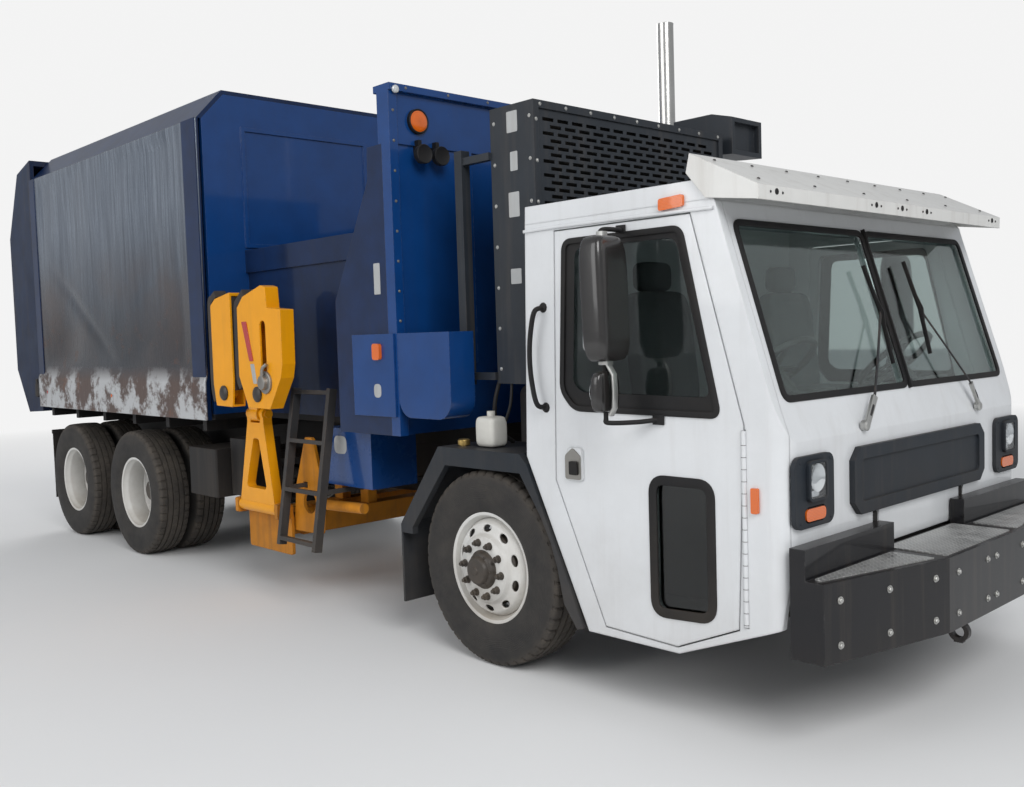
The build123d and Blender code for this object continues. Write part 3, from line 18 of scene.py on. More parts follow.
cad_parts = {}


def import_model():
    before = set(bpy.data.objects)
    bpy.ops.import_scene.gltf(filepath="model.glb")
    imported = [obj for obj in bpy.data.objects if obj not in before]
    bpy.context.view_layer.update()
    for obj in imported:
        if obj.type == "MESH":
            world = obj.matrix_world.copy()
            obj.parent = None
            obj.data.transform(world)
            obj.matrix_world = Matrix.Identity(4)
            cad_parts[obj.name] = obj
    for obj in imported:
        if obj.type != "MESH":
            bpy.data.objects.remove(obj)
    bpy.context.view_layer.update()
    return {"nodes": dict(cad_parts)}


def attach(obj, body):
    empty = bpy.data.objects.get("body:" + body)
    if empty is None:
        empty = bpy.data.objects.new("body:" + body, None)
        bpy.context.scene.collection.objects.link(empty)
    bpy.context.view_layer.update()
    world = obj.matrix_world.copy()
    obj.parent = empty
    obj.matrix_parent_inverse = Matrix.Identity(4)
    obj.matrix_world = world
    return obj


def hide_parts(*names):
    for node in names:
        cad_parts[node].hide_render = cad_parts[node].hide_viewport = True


LOG = logging.getLogger("truck")
AXLE_X = 2.525
SIDES = (("right", -1.0), ("left", 1.0))
WAYS = (-1.0, 1.0)
ORIGIN = (0.0, 0.0, 0.0)
TURN = 2 * np.pi

Point = tuple[float, float, float]
Socket = bpy.types.NodeSocket
Colour = tuple[float, float, float]


# Shapes


@dataclass
class Shell:
    """A mesh that is being worked out: its points, and its faces as arrays of equal-sided polygons."""

    points: np.ndarray
    faces: list[np.ndarray]

    def moved(self, shift: Point) -> "Shell":
        """The shell carried by a shift."""
        return Shell(self.points + np.array(shift, float), self.faces)

    def scaled(self, x: float, y: float, z: float) -> "Shell":
        """The shell with each axis scaled about the origin."""
        return Shell(self.points * np.array([x, y, z], float), self.faces)

    def turned(self, axis: str, degrees: float) -> "Shell":
        """The shell turned about an axis through the origin."""
        matrix = np.array(Matrix.Rotation(math.radians(degrees), 3, axis))
        return Shell(self.points @ matrix.T, self.faces)

    def mirrored(self) -> "Shell":
        """The shell on the truck's other side."""
        return self.scaled(1, -1, 1)


def join(*shells: Shell) -> Shell:
    """All the shells as one.

    Args:
        shells: the shells, which keep their own points.
    Returns:
        One shell whose faces count from its own first point.
    """
    points, faces, start = [], [], 0
    for shell in shells:
        points.append(shell.points)
        faces += [group + start for group in shell.faces]
        start += len(shell.points)
    return Shell(np.concatenate(points), faces)


def surface(points: np.ndarray, wrap_rows: bool = False, wrap_cols: bool = False) -> Shell:
    """Quads between neighbours on a grid of rows and columns.

    Args:
        points: an array of rows by columns by 3.
        wrap_rows: joins the last row to the first.
        wrap_cols: joins the last column to the first.
    Returns:
        The surface's shell.
    """
    rows, cols = points.shape[:2]
    i = np.arange(rows if wrap_rows else rows - 1)[:, None]
    j = np.arange(cols if wrap_cols else cols - 1)[None, :]
    after_i, after_j = (i + 1) % rows, (j + 1) % cols
    quads = np.stack([i * cols + j, i * cols + after_j, after_i * cols + after_j, after_i * cols + j], -1)
    return Shell(points.reshape(-1, 3).astype(float), [quads.reshape(-1, 4)])


def even_turn(count: int) -> np.ndarray:
    """Angles evenly spaced over one turn, the last left out."""
    return np.linspace(0, TURN, count, endpoint=False)


def bolt_circle(centre: Point, radius: float, count: int, start: float = 0.0) -> np.ndarray:
    """Places evenly spaced on a circle whose axis is Y."""
    turn = even_turn(count) + start
    x, y, z = centre
    return np.stack([x + radius * np.cos(turn), np.full(count, y), z + radius * np.sin(turn)], -1)


def ring(radius: float, sides: int = 12) -> np.ndarray:
    """A round section: cosine and sine of an even turn, times the radius."""
    turn = even_turn(sides)
    return radius * np.stack([np.cos(turn), np.sin(turn)], -1)


def bar(width: float, height: float, round_by: float = 0.0) -> np.ndarray:
    """A rectangular section, width across and height along the carrying direction, with eased corners."""
    half = np.array([[1, 1], [-1, 1], [-1, -1], [1, -1]], float) * (width / 2, height / 2)
    return rounded(half, round_by, 3) if round_by else half


def rounded(points: np.ndarray | list, radius: float, steps: int = 6) -> np.ndarray:
    """A closed outline with each corner replaced by a quadratic blend between its two tangent points.

    Args:
        points: the corners, two numbers each.
        radius: the distance cut from each side of a corner, limited by its shorter side.
        steps: points along each blend.
    Returns:
        The new outline.
    """
    corners = np.asarray(points, float)
    before, after = np.roll(corners, 1, 0) - corners, np.roll(corners, -1, 0) - corners
    reach_a, reach_b = np.linalg.norm(before, axis=1), np.linalg.norm(after, axis=1)
    cut = np.minimum(radius, 0.49 * np.minimum(reach_a, reach_b))[:, None]
    start = corners + before / reach_a[:, None] * cut
    end = corners + after / reach_b[:, None] * cut
    t = np.linspace(0, 1, steps)[None, :, None]
    blend = (1 - t) ** 2 * start[:, None] + 2 * t * (1 - t) * corners[:, None] + t**2 * end[:, None]
    return blend.reshape(-1, 2)


def pane(x0: float, x1: float, z0: float, z1: float, ease: float, steps: int = 6) -> np.ndarray:
    """A rectangle's outline with its corners rounded."""
    return rounded([(x0, z0), (x1, z0), (x1, z1), (x0, z1)], ease, steps)


def curve(points: list | np.ndarray, count: int = 24) -> np.ndarray:
    """A smooth line through the points: on each run the four nearest points weigh in by cubic powers of t."""
    known = np.asarray(points, float)
    padded = np.concatenate([2 * known[:1] - known[1:2], known, 2 * known[-1:] - known[-2:-1]])
    where = np.linspace(0, len(known) - 1, count)
    run = np.minimum(where.astype(int), len(known) - 2)
    t = (where - run)[:, None]
    p0, p1, p2, p3 = (padded[run + k] for k in range(4))
    slope, bend, twist = p2 - p0, 2 * p0 - 5 * p1 + 4 * p2 - p3, 3 * p1 - p0 - 3 * p2 + p3
    return 0.5 * (2 * p1 + slope * t + bend * t**2 + twist * t**3)


def sweep(path: np.ndarray | list, section: np.ndarray, up: Point = (0, 0, 1), closed: bool = False) -> Shell:
    """A section carried along a path: each point of the section is set off along the path's normal and binormal.

    Args:
        path: the line's points.
        section: the section's points, two numbers each.
        up: a direction that the path never follows.
        closed: joins the end to the start.
    Returns:
        A closed tube, capped unless the path closes.
    """
    line = np.asarray(path, float)
    if closed:
        along = np.roll(line, -1, 0) - np.roll(line, 1, 0)
    else:
        along = np.gradient(line, axis=0)
    along /= np.linalg.norm(along, axis=1)[:, None]
    side = np.cross(along, np.array(up, float))
    side /= np.linalg.norm(side, axis=1)[:, None]
    rise = np.cross(side, along)
    points = line[:, None] + section[None, :, :1] * side[:, None] + section[None, :, 1:] * rise[:, None]
    shell = surface(points, wrap_rows=closed, wrap_cols=True)
    if not closed:
        count = len(section)
        last = (len(line) - 1) * count
        shell.faces.append(np.arange(count)[::-1][None])
        shell.faces.append((np.arange(count) + last)[None])
    return shell


def tube(points: list | np.ndarray, radius: float, up: Point = (0, 0, 1), sides: int = 10, count: int = 0) -> Shell:
    """A round bar or hose along points, smoothed to count places when count is given."""
    line = curve(points, count) if count else np.asarray(points, float)
    return sweep(line, ring(radius, sides), up)


def lathe(profile: list | np.ndarray, centre: Point, axis: str = "Y", sides: int = 48, flip: float = 1.0) -> Shell:
    """A profile of (along, radius) turned about an axis: radius times cosine and sine on the two other axes.

    Args:
        profile: the profile's points.
        centre: where the axis starts.
        axis: X, Y or Z.
        sides: steps round.
        flip: -1 looks along the axis the other way.
    Returns:
        The turned shell, whose poles close when the radius is 0.
    """
    along, radius = np.asarray(profile, float).T
    turn = even_turn(sides)
    first = radius[:, None] * np.cos(turn)[None]
    second = radius[:, None] * np.sin(turn)[None]
    length = np.repeat(along[:, None] * flip, sides, 1)
    order = {"X": (length, first, second), "Y": (first, length, second), "Z": (first, second, length)}[axis]
    return surface(np.stack(order, -1) + np.array(centre, float), wrap_cols=True)


def laid(outline: np.ndarray, depth: float, axis: str = "Y") -> np.ndarray:
    """A flat outline as points in space, at one depth along an axis."""
    order = {"X": (2, 0, 1), "Y": (0, 2, 1), "Z": (0, 1, 2)}[axis]
    return np.column_stack([outline, np.full(len(outline), depth)])[:, order]


def slab(outline: np.ndarray | list, low: float, high: float, axis: str = "Y") -> Shell:
    """An outline in the two other axes, as thick as from low to high along one axis."""
    flat = np.asarray(outline, float)
    count = len(flat)
    shell = surface(np.stack([laid(flat, low, axis), laid(flat, high, axis)]), wrap_cols=True)
    shell.faces += [np.arange(count)[::-1][None], (np.arange(count) + count)[None]]
    return shell


def collar(outer: np.ndarray, inner: np.ndarray, low: float, high: float) -> Shell:
    """A flat border between two outlines with as many points each, as thick as from low to high along Y."""
    loops = [laid(outer, low), laid(outer, high), laid(inner, high), laid(inner, low)]
    return surface(np.array(loops), wrap_rows=True, wrap_cols=True)


def box(x0: float, x1: float, y0: float, y1: float, z0: float, z1: float, ease: float = 0.0) -> Shell:
    """A block between limits, its upright edges eased."""
    corners = [(x0, y0), (x1, y0), (x1, y1), (x0, y1)]
    return slab(rounded(corners, ease, 4) if ease else corners, z0, z1, "Z")


def pillow(centre: Point, size: Point, power: float = 0.35, rows: int = 25, cols: int = 48) -> Shell:
    """A rounded block: signed powers of a sphere's sines and cosines, scaled by half the size."""
    v = np.linspace(-np.pi / 2, np.pi / 2, rows)[:, None]
    u = even_turn(cols)[None]

    def bent(value: np.ndarray) -> np.ndarray:
        """Keeps the sign and raises the size to the power."""
        return np.sign(value) * np.abs(value) ** power

    x = bent(np.cos(v)) * bent(np.cos(u)) * size[0] / 2
    y = bent(np.cos(v)) * bent(np.sin(u)) * size[1] / 2
    z = bent(np.sin(v)) * np.ones_like(u) * size[2] / 2
    return surface(np.stack([x, y, z], -1) + np.array(centre, float), wrap_cols=True)


def stamp(shell: Shell, places: np.ndarray | list, normals: np.ndarray | list | Point) -> Shell:
    """One small shell, made round +Z, repeated at many places and turned so that +Z follows each normal."""
    spots = np.asarray(places, float).reshape(-1, 3)
    facing = np.broadcast_to(np.asarray(normals, float), spots.shape)
    facing = facing / np.linalg.norm(facing, axis=1)[:, None]
    other = np.where(np.abs(facing[:, 2:]) > 0.9, [[1.0, 0, 0]], [[0, 0, 1.0]])
    first = np.cross(other, facing)
    first /= np.linalg.norm(first, axis=1)[:, None]
    second = np.cross(facing, first)
    basis = np.stack([first, second, facing], 1)
    points = np.einsum("pk,nkc->npc", shell.points, basis) + spots[:, None]
    count = len(shell.points)
    shift = (np.arange(len(spots)) * count)[:, None, None]
    faces = [(group[None] + shift).reshape(-1, group.shape[1]) for group in shell.faces]
    return Shell(points.reshape(-1, 3), faces)


def bolt(radius: float, height: float) -> Shell:
    """A hexagon head on a thin washer, round +Z."""
    head = lathe([(0.0, radius), (height * 0.8, radius), (height, radius * 0.8), (height, 0)], ORIGIN, "Z", 6)
    washer = lathe([(0, radius * 1.45), (height * 0.22, radius * 1.45), (height * 0.22, 0)], ORIGIN, "Z", 14)
    return join(head, washer)


def dome(radius: float, height: float) -> Shell:
    """A rivet or screw head, round +Z."""
    profile = [(0, radius), (height * 0.6, radius * 0.85), (height, radius * 0.45), (height, 0)]
    return lathe(profile, ORIGIN, "Z", 10)


# Finishes

BEVEL_SAMPLES = 4
WORN_EDGE_MIN, WORN_EDGE_REACH = 0.003, 1.6


class Graph:
    """A node tree with short calls for the nodes that the finishes use."""

    def __init__(self, tree: bpy.types.NodeTree) -> None:
        """Keeps the tree."""
        self.tree = tree

    def node(self, kind: str, **settings: object) -> bpy.types.Node:
        """Adds a node and sets its properties."""
        made = self.tree.nodes.new(kind)
        for name, value in settings.items():
            setattr(made, name, value)
        return made

    def put(self, socket: Socket, value: object) -> None:
        """Links an output to a socket, or sets the socket's own value."""
        if isinstance(value, Socket):
            self.tree.links.new(value, socket)
        elif value is not None:
            socket.default_value = value

    def math(self, operation: str, a: object, b: object = None, clamp: bool = False) -> Socket:
        """One Math node."""
        made = self.node("ShaderNodeMath", operation=operation, use_clamp=clamp)
        self.put(made.inputs[0], a)
        self.put(made.inputs[1], b)
        return made.outputs[0]

    def times(self, a: object, b: object, clamp: bool = False) -> Socket:
        """The product of two values."""
        return self.math("MULTIPLY", a, b, clamp)

    def plus(self, a: object, b: object, clamp: bool = False) -> Socket:
        """The sum of two values."""
        return self.math("ADD", a, b, clamp)

    def feed(self, node: bpy.types.Node, values: dict[str, object]) -> None:
        """Puts a value or a link into each named input."""
        for name, value in values.items():
            self.put(node.inputs[name], value)

    def group(self, name: str, values: dict[str, object]) -> bpy.types.bpy_prop_collection:
        """The outputs of a node group whose named inputs are set."""
        made = self.node("ShaderNodeGroup", node_tree=bpy.data.node_groups[name])
        self.feed(made, values)
        return made.outputs

    def place(self) -> Socket:
        """Object coordinates."""
        return self.node("ShaderNodeTexCoord").outputs["Object"]

    def axes(self, vector: Socket) -> bpy.types.bpy_prop_collection:
        """A vector's X, Y and Z."""
        made = self.node("ShaderNodeSeparateXYZ")
        self.put(made.inputs[0], vector)
        return made.outputs

    def bevel(self, radius: object) -> Socket:
        """The normal with its edges eased."""
        made = self.node("ShaderNodeBevel", samples=BEVEL_SAMPLES)
        self.put(made.inputs["Radius"], radius)
        return made.outputs[0]

    def blend(self, share: object, a: object, b: object) -> Socket:
        """A shader between two shaders."""
        made = self.node("ShaderNodeMixShader")
        for socket, item in zip(made.inputs, (share, a, b)):
            self.put(socket, item)
        return made.outputs[0]

    def fit(self, value: object, low: object, high: object, to_low: float = 0.0, to_high: float = 1.0) -> Socket:
        """A clamped Map Range."""
        made = self.node("ShaderNodeMapRange", clamp=True)
        for socket, item in zip(made.inputs, (value, low, high, to_low, to_high)):
            self.put(socket, item)
        return made.outputs[0]

    def mix(self, share: object, a: object, b: object) -> Socket:
        """A colour between two colours."""
        made = self.node("ShaderNodeMix", data_type="RGBA")
        self.put(made.inputs[0], share)
        self.put(made.inputs[6], rgba(a))
        self.put(made.inputs[7], rgba(b))
        return made.outputs[2]

    def noise(self, vector: object, scale: object, detail: float, rough: float) -> Socket:
        """Noise from 0 to 1."""
        made = self.node("ShaderNodeTexNoise")
        self.feed(made, {"Vector": vector, "Scale": scale, "Detail": detail, "Roughness": rough})
        return made.outputs["Fac"]

    def stretched(self, vector: object, scale: Point) -> Socket:
        """The vector with each axis scaled."""
        made = self.node("ShaderNodeMapping", vector_type="POINT")
        self.feed(made, {"Vector": vector, "Scale": scale})
        return made.outputs[0]

    def bump(self, height: object, distance: float, normal: object = None) -> Socket:
        """A bumped normal."""
        made = self.node("ShaderNodeBump")
        self.feed(made, {"Strength": 1.0, "Distance": distance, "Height": height, "Normal": normal})
        return made.outputs[0]


def rgba(value: object) -> object:
    """A colour of three numbers with a full alpha, or the value itself."""
    return (*value, 1.0) if isinstance(value, tuple) and len(value) == 3 else value


def new_group(name: str, inputs: dict[str, float], outputs: list[str]) -> tuple[Graph, dict, bpy.types.Node]:
    """A node group with float inputs and outputs.

    Args:
        name: the group's name.
        inputs: each input's name and first value.
        outputs: the outputs' names.
    Returns:
        The group's graph, its input sockets by name, and its output node.
    """
    tree = bpy.data.node_groups.new(name, "ShaderNodeTree")
    for label, value in inputs.items():
        socket = tree.interface.new_socket(name=label, in_out="INPUT", socket_type="NodeSocketFloat")
        socket.default_value = value
    for label in outputs:
        tree.interface.new_socket(name=label, in_out="OUTPUT", socket_type="NodeSocketFloat")
    graph = Graph(tree)
    source = graph.node("NodeGroupInput")
    sink = graph.node("NodeGroupOutput")
    return graph, {label: source.outputs[label] for label in inputs}, sink


def weather_group() -> bpy.types.NodeTree:
    """Masks for road dust, rain streaks, worn edges and uneven colour, from Object coordinates.

    Returns:
        The group, with outputs Dust, Streaks, Chips and Mottle.
    """
    inputs = {"Dust": 0.3, "Dust Top": 1.2, "Streaks": 0.2, "Chips": 0.2, "Edge": 0.006}
    graph, given, sink = new_group("weather", inputs, ["Dust", "Streaks", "Chips", "Mottle"])
    place = graph.place()
    normal = graph.node("ShaderNodeNewGeometry").outputs["Normal"]
    cloud = graph.noise(place, 2.3, 6.0, 0.65)
    fine = graph.noise(place, 38.0, 5.0, 0.7)
    low = graph.fit(graph.axes(place)[2], given["Dust Top"], 0.25)
    lying = graph.fit(graph.axes(normal)[2], 0.5, 1.0, 0.0, 0.45)
    spread = graph.times(graph.fit(cloud, 0.35, 0.68), graph.fit(fine, 0.25, 0.7, 0.45, 1.0))
    dust = graph.plus(graph.times(low, graph.fit(cloud, 0.25, 0.75, 0.35, 1.0)), lying)
    dust = graph.plus(dust, graph.times(spread, 0.35))
    runs = graph.noise(graph.stretched(place, (9.0, 9.0, 0.55)), 1.6, 5.0, 0.6)
    dot = graph.node("ShaderNodeVectorMath", operation="DOT_PRODUCT")
    graph.put(dot.inputs[0], graph.bevel(given["Edge"]))
    graph.put(dot.inputs[1], normal)
    edge = graph.fit(dot.outputs["Value"], 0.985, 0.86)
    broken = graph.fit(graph.noise(place, 26.0, 6.0, 0.75), 0.47, 0.6)
    specks = graph.fit(graph.noise(place, 11.0, 8.0, 0.8), 0.685, 0.70)
    worn = graph.plus(graph.times(edge, broken), graph.times(specks, 0.5))
    graph.feed(sink, {
        "Dust": graph.times(dust, given["Dust"], clamp=True),
        "Streaks": graph.times(graph.fit(runs, 0.52, 0.78), given["Streaks"], clamp=True),
        "Chips": graph.times(worn, given["Chips"], clamp=True),
        "Mottle": graph.noise(place, 5.0, 5.0, 0.6),
    })
    return graph.tree


def grain_group() -> bpy.types.NodeTree:
    """A height made of fine grain and slow waves, for the bump of a sheet or a moulding.

    Returns:
        The group, with the output Height.
    """
    graph, given, sink = new_group("grain", {"Scale": 300.0, "Waves": 0.5}, ["Height"])
    place = graph.place()
    fine = graph.noise(place, given["Scale"], 3.0, 0.6)
    slow = graph.noise(place, 3.1, 2.0, 0.5)
    waves = graph.times(slow, graph.times(given["Waves"], 40.0))
    graph.put(sink.inputs["Height"], graph.plus(fine, waves))
    return graph.tree


class Dress:
    """A surface's look, whose material is made once and kept apart from the frame's own materials."""

    name: str
    kept: ClassVar[dict[str, bpy.types.Material]] = {}

    def material(self) -> bpy.types.Material:
        """The material, made at its first use."""
        if self.name not in Dress.kept:
            Dress.kept[self.name] = self.build()
        return Dress.kept[self.name]

    def build(self) -> bpy.types.Material:
        """Makes the material; each kind of look has its own way."""
        raise NotImplementedError


@dataclass(frozen=True)
class Finish(Dress):
    """A painted, moulded or metal surface and how it has aged."""

    name: str
    colour: Colour
    rough: float = 0.45
    metal: float = 0.0
    coat: float = 0.0
    worn: Colour = (0.12, 0.08, 0.06)
    dirt: Colour = (0.22, 0.17, 0.12)
    dust: float = 0.25
    dust_top: float = 1.1
    streaks: float = 0.12
    chips: float = 0.15
    mottle: float = 0.12
    grain: float = 260.0
    depth: float = 0.00012
    waves: float = 0.0
    edge: float = 0.004
    shine: float = 0.5

    def build(self) -> bpy.types.Material:
        """Makes the material.

        Returns:
            A Principled material whose colour and roughness follow the weather masks.
        """
        made, graph, shader = blank(self.name)
        weather = graph.group("weather", {
            "Dust": self.dust, "Dust Top": self.dust_top, "Streaks": self.streaks, "Chips": self.chips,
            "Edge": max(self.edge, WORN_EDGE_MIN) * WORN_EDGE_REACH,
        })
        dust, chips = weather["Dust"], weather["Chips"]
        dark = tuple(c * (1 - self.mottle) for c in self.colour)
        light = tuple(min(1.0, c * (1 + self.mottle * 0.6)) for c in self.colour)
        colour = graph.mix(graph.fit(weather["Mottle"], 0.3, 0.7), dark, light)
        colour = graph.mix(weather["Streaks"], colour, self.dirt)
        colour = graph.mix(chips, colour, self.worn)
        colour = graph.mix(dust, colour, self.dirt)
        matt = graph.plus(graph.times(dust, 0.5), graph.times(chips, 0.3))
        grain = graph.group("grain", {"Scale": self.grain, "Waves": self.waves})
        graph.feed(shader, {
            "Base Color": colour,
            "Roughness": graph.plus(matt, self.rough, clamp=True),
            "Metallic": self.metal,
            "Specular IOR Level": self.shine,
            "Normal": graph.bump(grain["Height"], self.depth, graph.bevel(self.edge)),
        })
        if self.coat:
            clean = graph.math("SUBTRACT", self.coat, dust, clamp=True)
            graph.feed(shader, {"Coat Weight": clean, "Coat Roughness": 0.06})
        return made


def blank(name: str) -> tuple[bpy.types.Material, Graph, bpy.types.Node]:
    """A material with only its shader and output."""
    made = bpy.data.materials.new(f"look_{name}")
    made.use_nodes = True
    made.node_tree.nodes.clear()
    graph = Graph(made.node_tree)
    shader = graph.node("ShaderNodeBsdfPrincipled")
    output = graph.node("ShaderNodeOutputMaterial")
    graph.put(output.inputs["Surface"], shader.outputs[0])
    return made, graph, shader


@dataclass(frozen=True)
class Glazing(Dress):
    """Tinted glass with a thin film of dust."""

    name: str
    tint: Colour
    rough: float = 0.02
    film: float = 0.1

    def build(self) -> bpy.types.Material:
        """Makes the material."""
        made, graph, shader = blank(self.name)
        weather = graph.group("weather", {"Dust": self.film, "Streaks": self.film, "Dust Top": 2.0})
        graph.feed(shader, {
            "Base Color": graph.mix(weather["Dust"], self.tint, (0.5, 0.45, 0.38)),
            "Roughness": graph.plus(weather["Dust"], self.rough, clamp=True),
            "Transmission Weight": 1.0,
            "IOR": 1.45,
        })
        return made


@dataclass(frozen=True)
class Lens(Dress):
    """A coloured lamp lens or reflector with a moulded pattern of small prisms."""

    name: str
    colour: Colour
    pitch: float = 0.006

    def build(self) -> bpy.types.Material:
        """Makes the material."""
        made, graph, shader = blank(self.name)
        cells = graph.node("ShaderNodeTexVoronoi", distance="CHEBYCHEV")
        graph.feed(cells, {"Vector": graph.place(), "Scale": 1 / self.pitch, "Randomness": 0.0})
        dark = tuple(c * 0.55 for c in self.colour)
        graph.feed(shader, {
            "Base Color": graph.mix(graph.fit(cells.outputs[0], 0.1, 0.6), self.colour, dark),
            "Normal": graph.bump(cells.outputs[0], 0.0009),
            "Roughness": 0.12,
            "Coat Weight": 0.8,
        })
        return made


@dataclass(frozen=True)
class TyreRubber(Dress):
    """Rubber with moulded rings on the wall and dry dust on the tread."""

    name: str = "tyre_rubber"

    def build(self) -> bpy.types.Material:
        """Makes the material."""
        made, graph, shader = blank(self.name)
        across = graph.node("ShaderNodeAttribute", attribute_name="across").outputs["Fac"]
        place = graph.place()
        tread = graph.fit(across, 0.80, 0.93)
        cloud = graph.noise(place, 7.0, 6.0, 0.7)
        fine = graph.noise(place, 90.0, 4.0, 0.7)
        dusty = graph.times(graph.fit(cloud, 0.3, 0.7, 0.25, 0.9), graph.fit(fine, 0.3, 0.65, 0.5, 1.0))
        dust = graph.times(dusty, graph.fit(tread, 0.0, 1.0, 0.15, 0.50))
        base = graph.mix(graph.fit(cloud, 0.3, 0.7), (0.014, 0.014, 0.015), (0.028, 0.027, 0.026))
        rings = graph.math("SINE", graph.times(across, 150.0))
        band = graph.times(graph.fit(across, 0.30, 0.34), graph.fit(across, 0.74, 0.70))
        height = graph.plus(graph.times(rings, band), graph.times(fine, 0.6))
        graph.feed(shader, {
            "Base Color": graph.mix(dust, base, (0.17, 0.135, 0.10)),
            "Roughness": 0.82,
            "Normal": graph.bump(height, 0.0007),
        })
        return made


@dataclass(frozen=True)
class TreadPlate(Dress):
    """Galvanised plate with raised bars in two directions."""

    name: str = "tread_plate"
    pitch: float = 0.030

    def build(self) -> bpy.types.Material:
        """Makes the material."""
        made, graph, shader = blank(self.name)
        place = graph.place()
        x, y, _ = graph.axes(place)
        u, v = (graph.math("DIVIDE", graph.math(kind, x, y), self.pitch) for kind in ("ADD", "SUBTRACT"))
        cell = graph.plus(graph.math("FLOOR", u), graph.math("FLOOR", v))
        parity = graph.math("MODULO", graph.math("ABSOLUTE", cell), 2.0)
        a, b = (graph.math("ABSOLUTE", graph.math("SUBTRACT", graph.math("FRACT", w), 0.5)) for w in (u, v))
        one = graph.times(graph.fit(a, 0.42, 0.36), graph.fit(b, 0.16, 0.08))
        two = graph.times(graph.fit(b, 0.42, 0.36), graph.fit(a, 0.16, 0.08))
        bars = graph.plus(graph.times(parity, graph.math("SUBTRACT", one, two)), two)
        cloud = graph.noise(place, 9.0, 6.0, 0.7)
        dull = graph.mix(graph.fit(cloud, 0.3, 0.7), (0.44, 0.44, 0.43), (0.62, 0.615, 0.60))
        graph.feed(shader, {
            "Base Color": graph.mix(graph.times(bars, 0.6), dull, (0.80, 0.80, 0.78)),
            "Roughness": graph.fit(cloud, 0.3, 0.7, 0.36, 0.6),
            "Metallic": 0.75,
            "Normal": graph.bump(bars, 0.0022),
        })
        return made


@dataclass(frozen=True)
class BodySheet(Dress):
    """Glossy sheet of the packer body: a painted sheen keeps it pale high up, painted shade darkens it below with a
    painted brown reflection in a band, and it is bare and rusty at the ledge.
    """

    name: str = "body_sheet"

    def build(self) -> bpy.types.Material:
        """Makes the material."""
        made, graph, shader = blank(self.name)
        place = graph.place()
        z = graph.axes(place)[2]
        brushed = graph.noise(graph.stretched(place, (14.0, 14.0, 0.5)), 2.6, 7.0, 0.65)
        cloud = graph.noise(place, 1.3, 6.0, 0.62)
        patches = graph.noise(place, 3.4, 8.0, 0.72)
        # Streaky grey-blue steel; its pale values are a painted sheen, left at full strength on the upper sheet.
        steel = graph.mix(graph.fit(brushed, 0.32, 0.68), (0.090, 0.112, 0.152), (0.250, 0.290, 0.350))
        # Painted shade: the sheet darkens from z 2.85 down to 1.85.
        steel = graph.mix(graph.fit(z, 2.85, 1.85, 0.0, 0.94), steel, (0.016, 0.020, 0.029))
        # Painted reflection: a cloudy brown band across the sheet, strongest from z 2.0 to 2.25, gone above 2.62 and
        # weaker below 2.0.
        brown_reflection = graph.times(graph.fit(z, 2.62, 2.25), graph.fit(z, 1.5, 2.0, 0.35, 1.0))
        brown_reflection = graph.times(brown_reflection, graph.fit(cloud, 0.38, 0.62))
        steel = graph.mix(graph.times(brown_reflection, 0.62), steel, (0.100, 0.068, 0.056))
        ledge = graph.fit(z, 1.60, 1.47)
        bare = graph.times(ledge, graph.fit(patches, 0.47, 0.55))
        steel = graph.mix(graph.times(ledge, 0.7), steel, (0.12, 0.07, 0.05))
        steel = graph.mix(bare, steel, (0.50, 0.51, 0.52))
        rust = graph.fit(graph.noise(place, 6.0, 9.0, 0.75), 0.57, 0.66)
        rust = graph.times(rust, graph.fit(z, 2.2, 1.3))
        steel = graph.mix(graph.times(rust, 0.8), steel, (0.16, 0.062, 0.028))
        matt = graph.times(graph.math("MAXIMUM", ledge, rust), 0.3)
        height = graph.plus(graph.times(cloud, 6.0), graph.times(brushed, 0.25))
        graph.feed(shader, {
            "Base Color": steel,
            "Roughness": graph.plus(graph.fit(brushed, 0.3, 0.7, 0.16, 0.32), matt, clamp=True),
            "Metallic": graph.fit(z, 1.45, 1.65, 0.25, 0.55),
            "Coat Weight": 0.35,
            "Coat Roughness": 0.18,
            "Normal": graph.bump(height, 0.0012, graph.bevel(0.005)),
        })
        return made


CAB_WHITE = Finish("cab_white", (0.70, 0.715, 0.73), 0.30, coat=0.7, dust=0.22, dust_top=0.9, streaks=0.10,
                   chips=0.05, mottle=0.03, depth=0.00004, waves=0.3, edge=0.012)
VISOR_WHITE = Finish("visor_white", (0.69, 0.685, 0.66), 0.38, coat=0.3, dust=0.1, streaks=0.25, chips=0.12,
                     mottle=0.05, edge=0.004)
SLATE = Finish("slate_trim", (0.017, 0.023, 0.031), 0.50, dust=0.20, dust_top=1.2, streaks=0.08, chips=0.06,
               grain=420.0, depth=0.0003, edge=0.006, worn=(0.10, 0.10, 0.11), shine=0.25)
BUMPER_BLACK = Finish("bumper_black", (0.007, 0.007, 0.009), 0.36, coat=0.3, dust=0.06, dust_top=0.6, chips=0.22,
                      worn=(0.20, 0.20, 0.20), edge=0.006, shine=0.25)
GASKET = Finish("gasket_rubber", (0.012, 0.012, 0.013), 0.6, dust=0.15, streaks=0.0, chips=0.0, edge=0.002,
                shine=0.25)
MIRROR_BLACK = Finish("mirror_black", (0.016, 0.015, 0.015), 0.26, coat=0.5, dust=0.08, streaks=0.05, chips=0.0)
MIRROR_GLASS = Finish("mirror_glass", (0.85, 0.87, 0.88), 0.03, metal=1.0, dust=0.05, streaks=0.05, chips=0.0,
                      mottle=0.0, depth=0.0)
COOLER_SLATE = Finish("cooler_slate", (0.022, 0.027, 0.034), 0.42, coat=0.1, dust=0.08, streaks=0.12, chips=0.12,
                      worn=(0.16, 0.16, 0.17), edge=0.005, shine=0.28)
CORE_BLACK = Finish("core_black", (0.012, 0.012, 0.012), 0.8, dust=0.2, chips=0.0, shine=0.15)
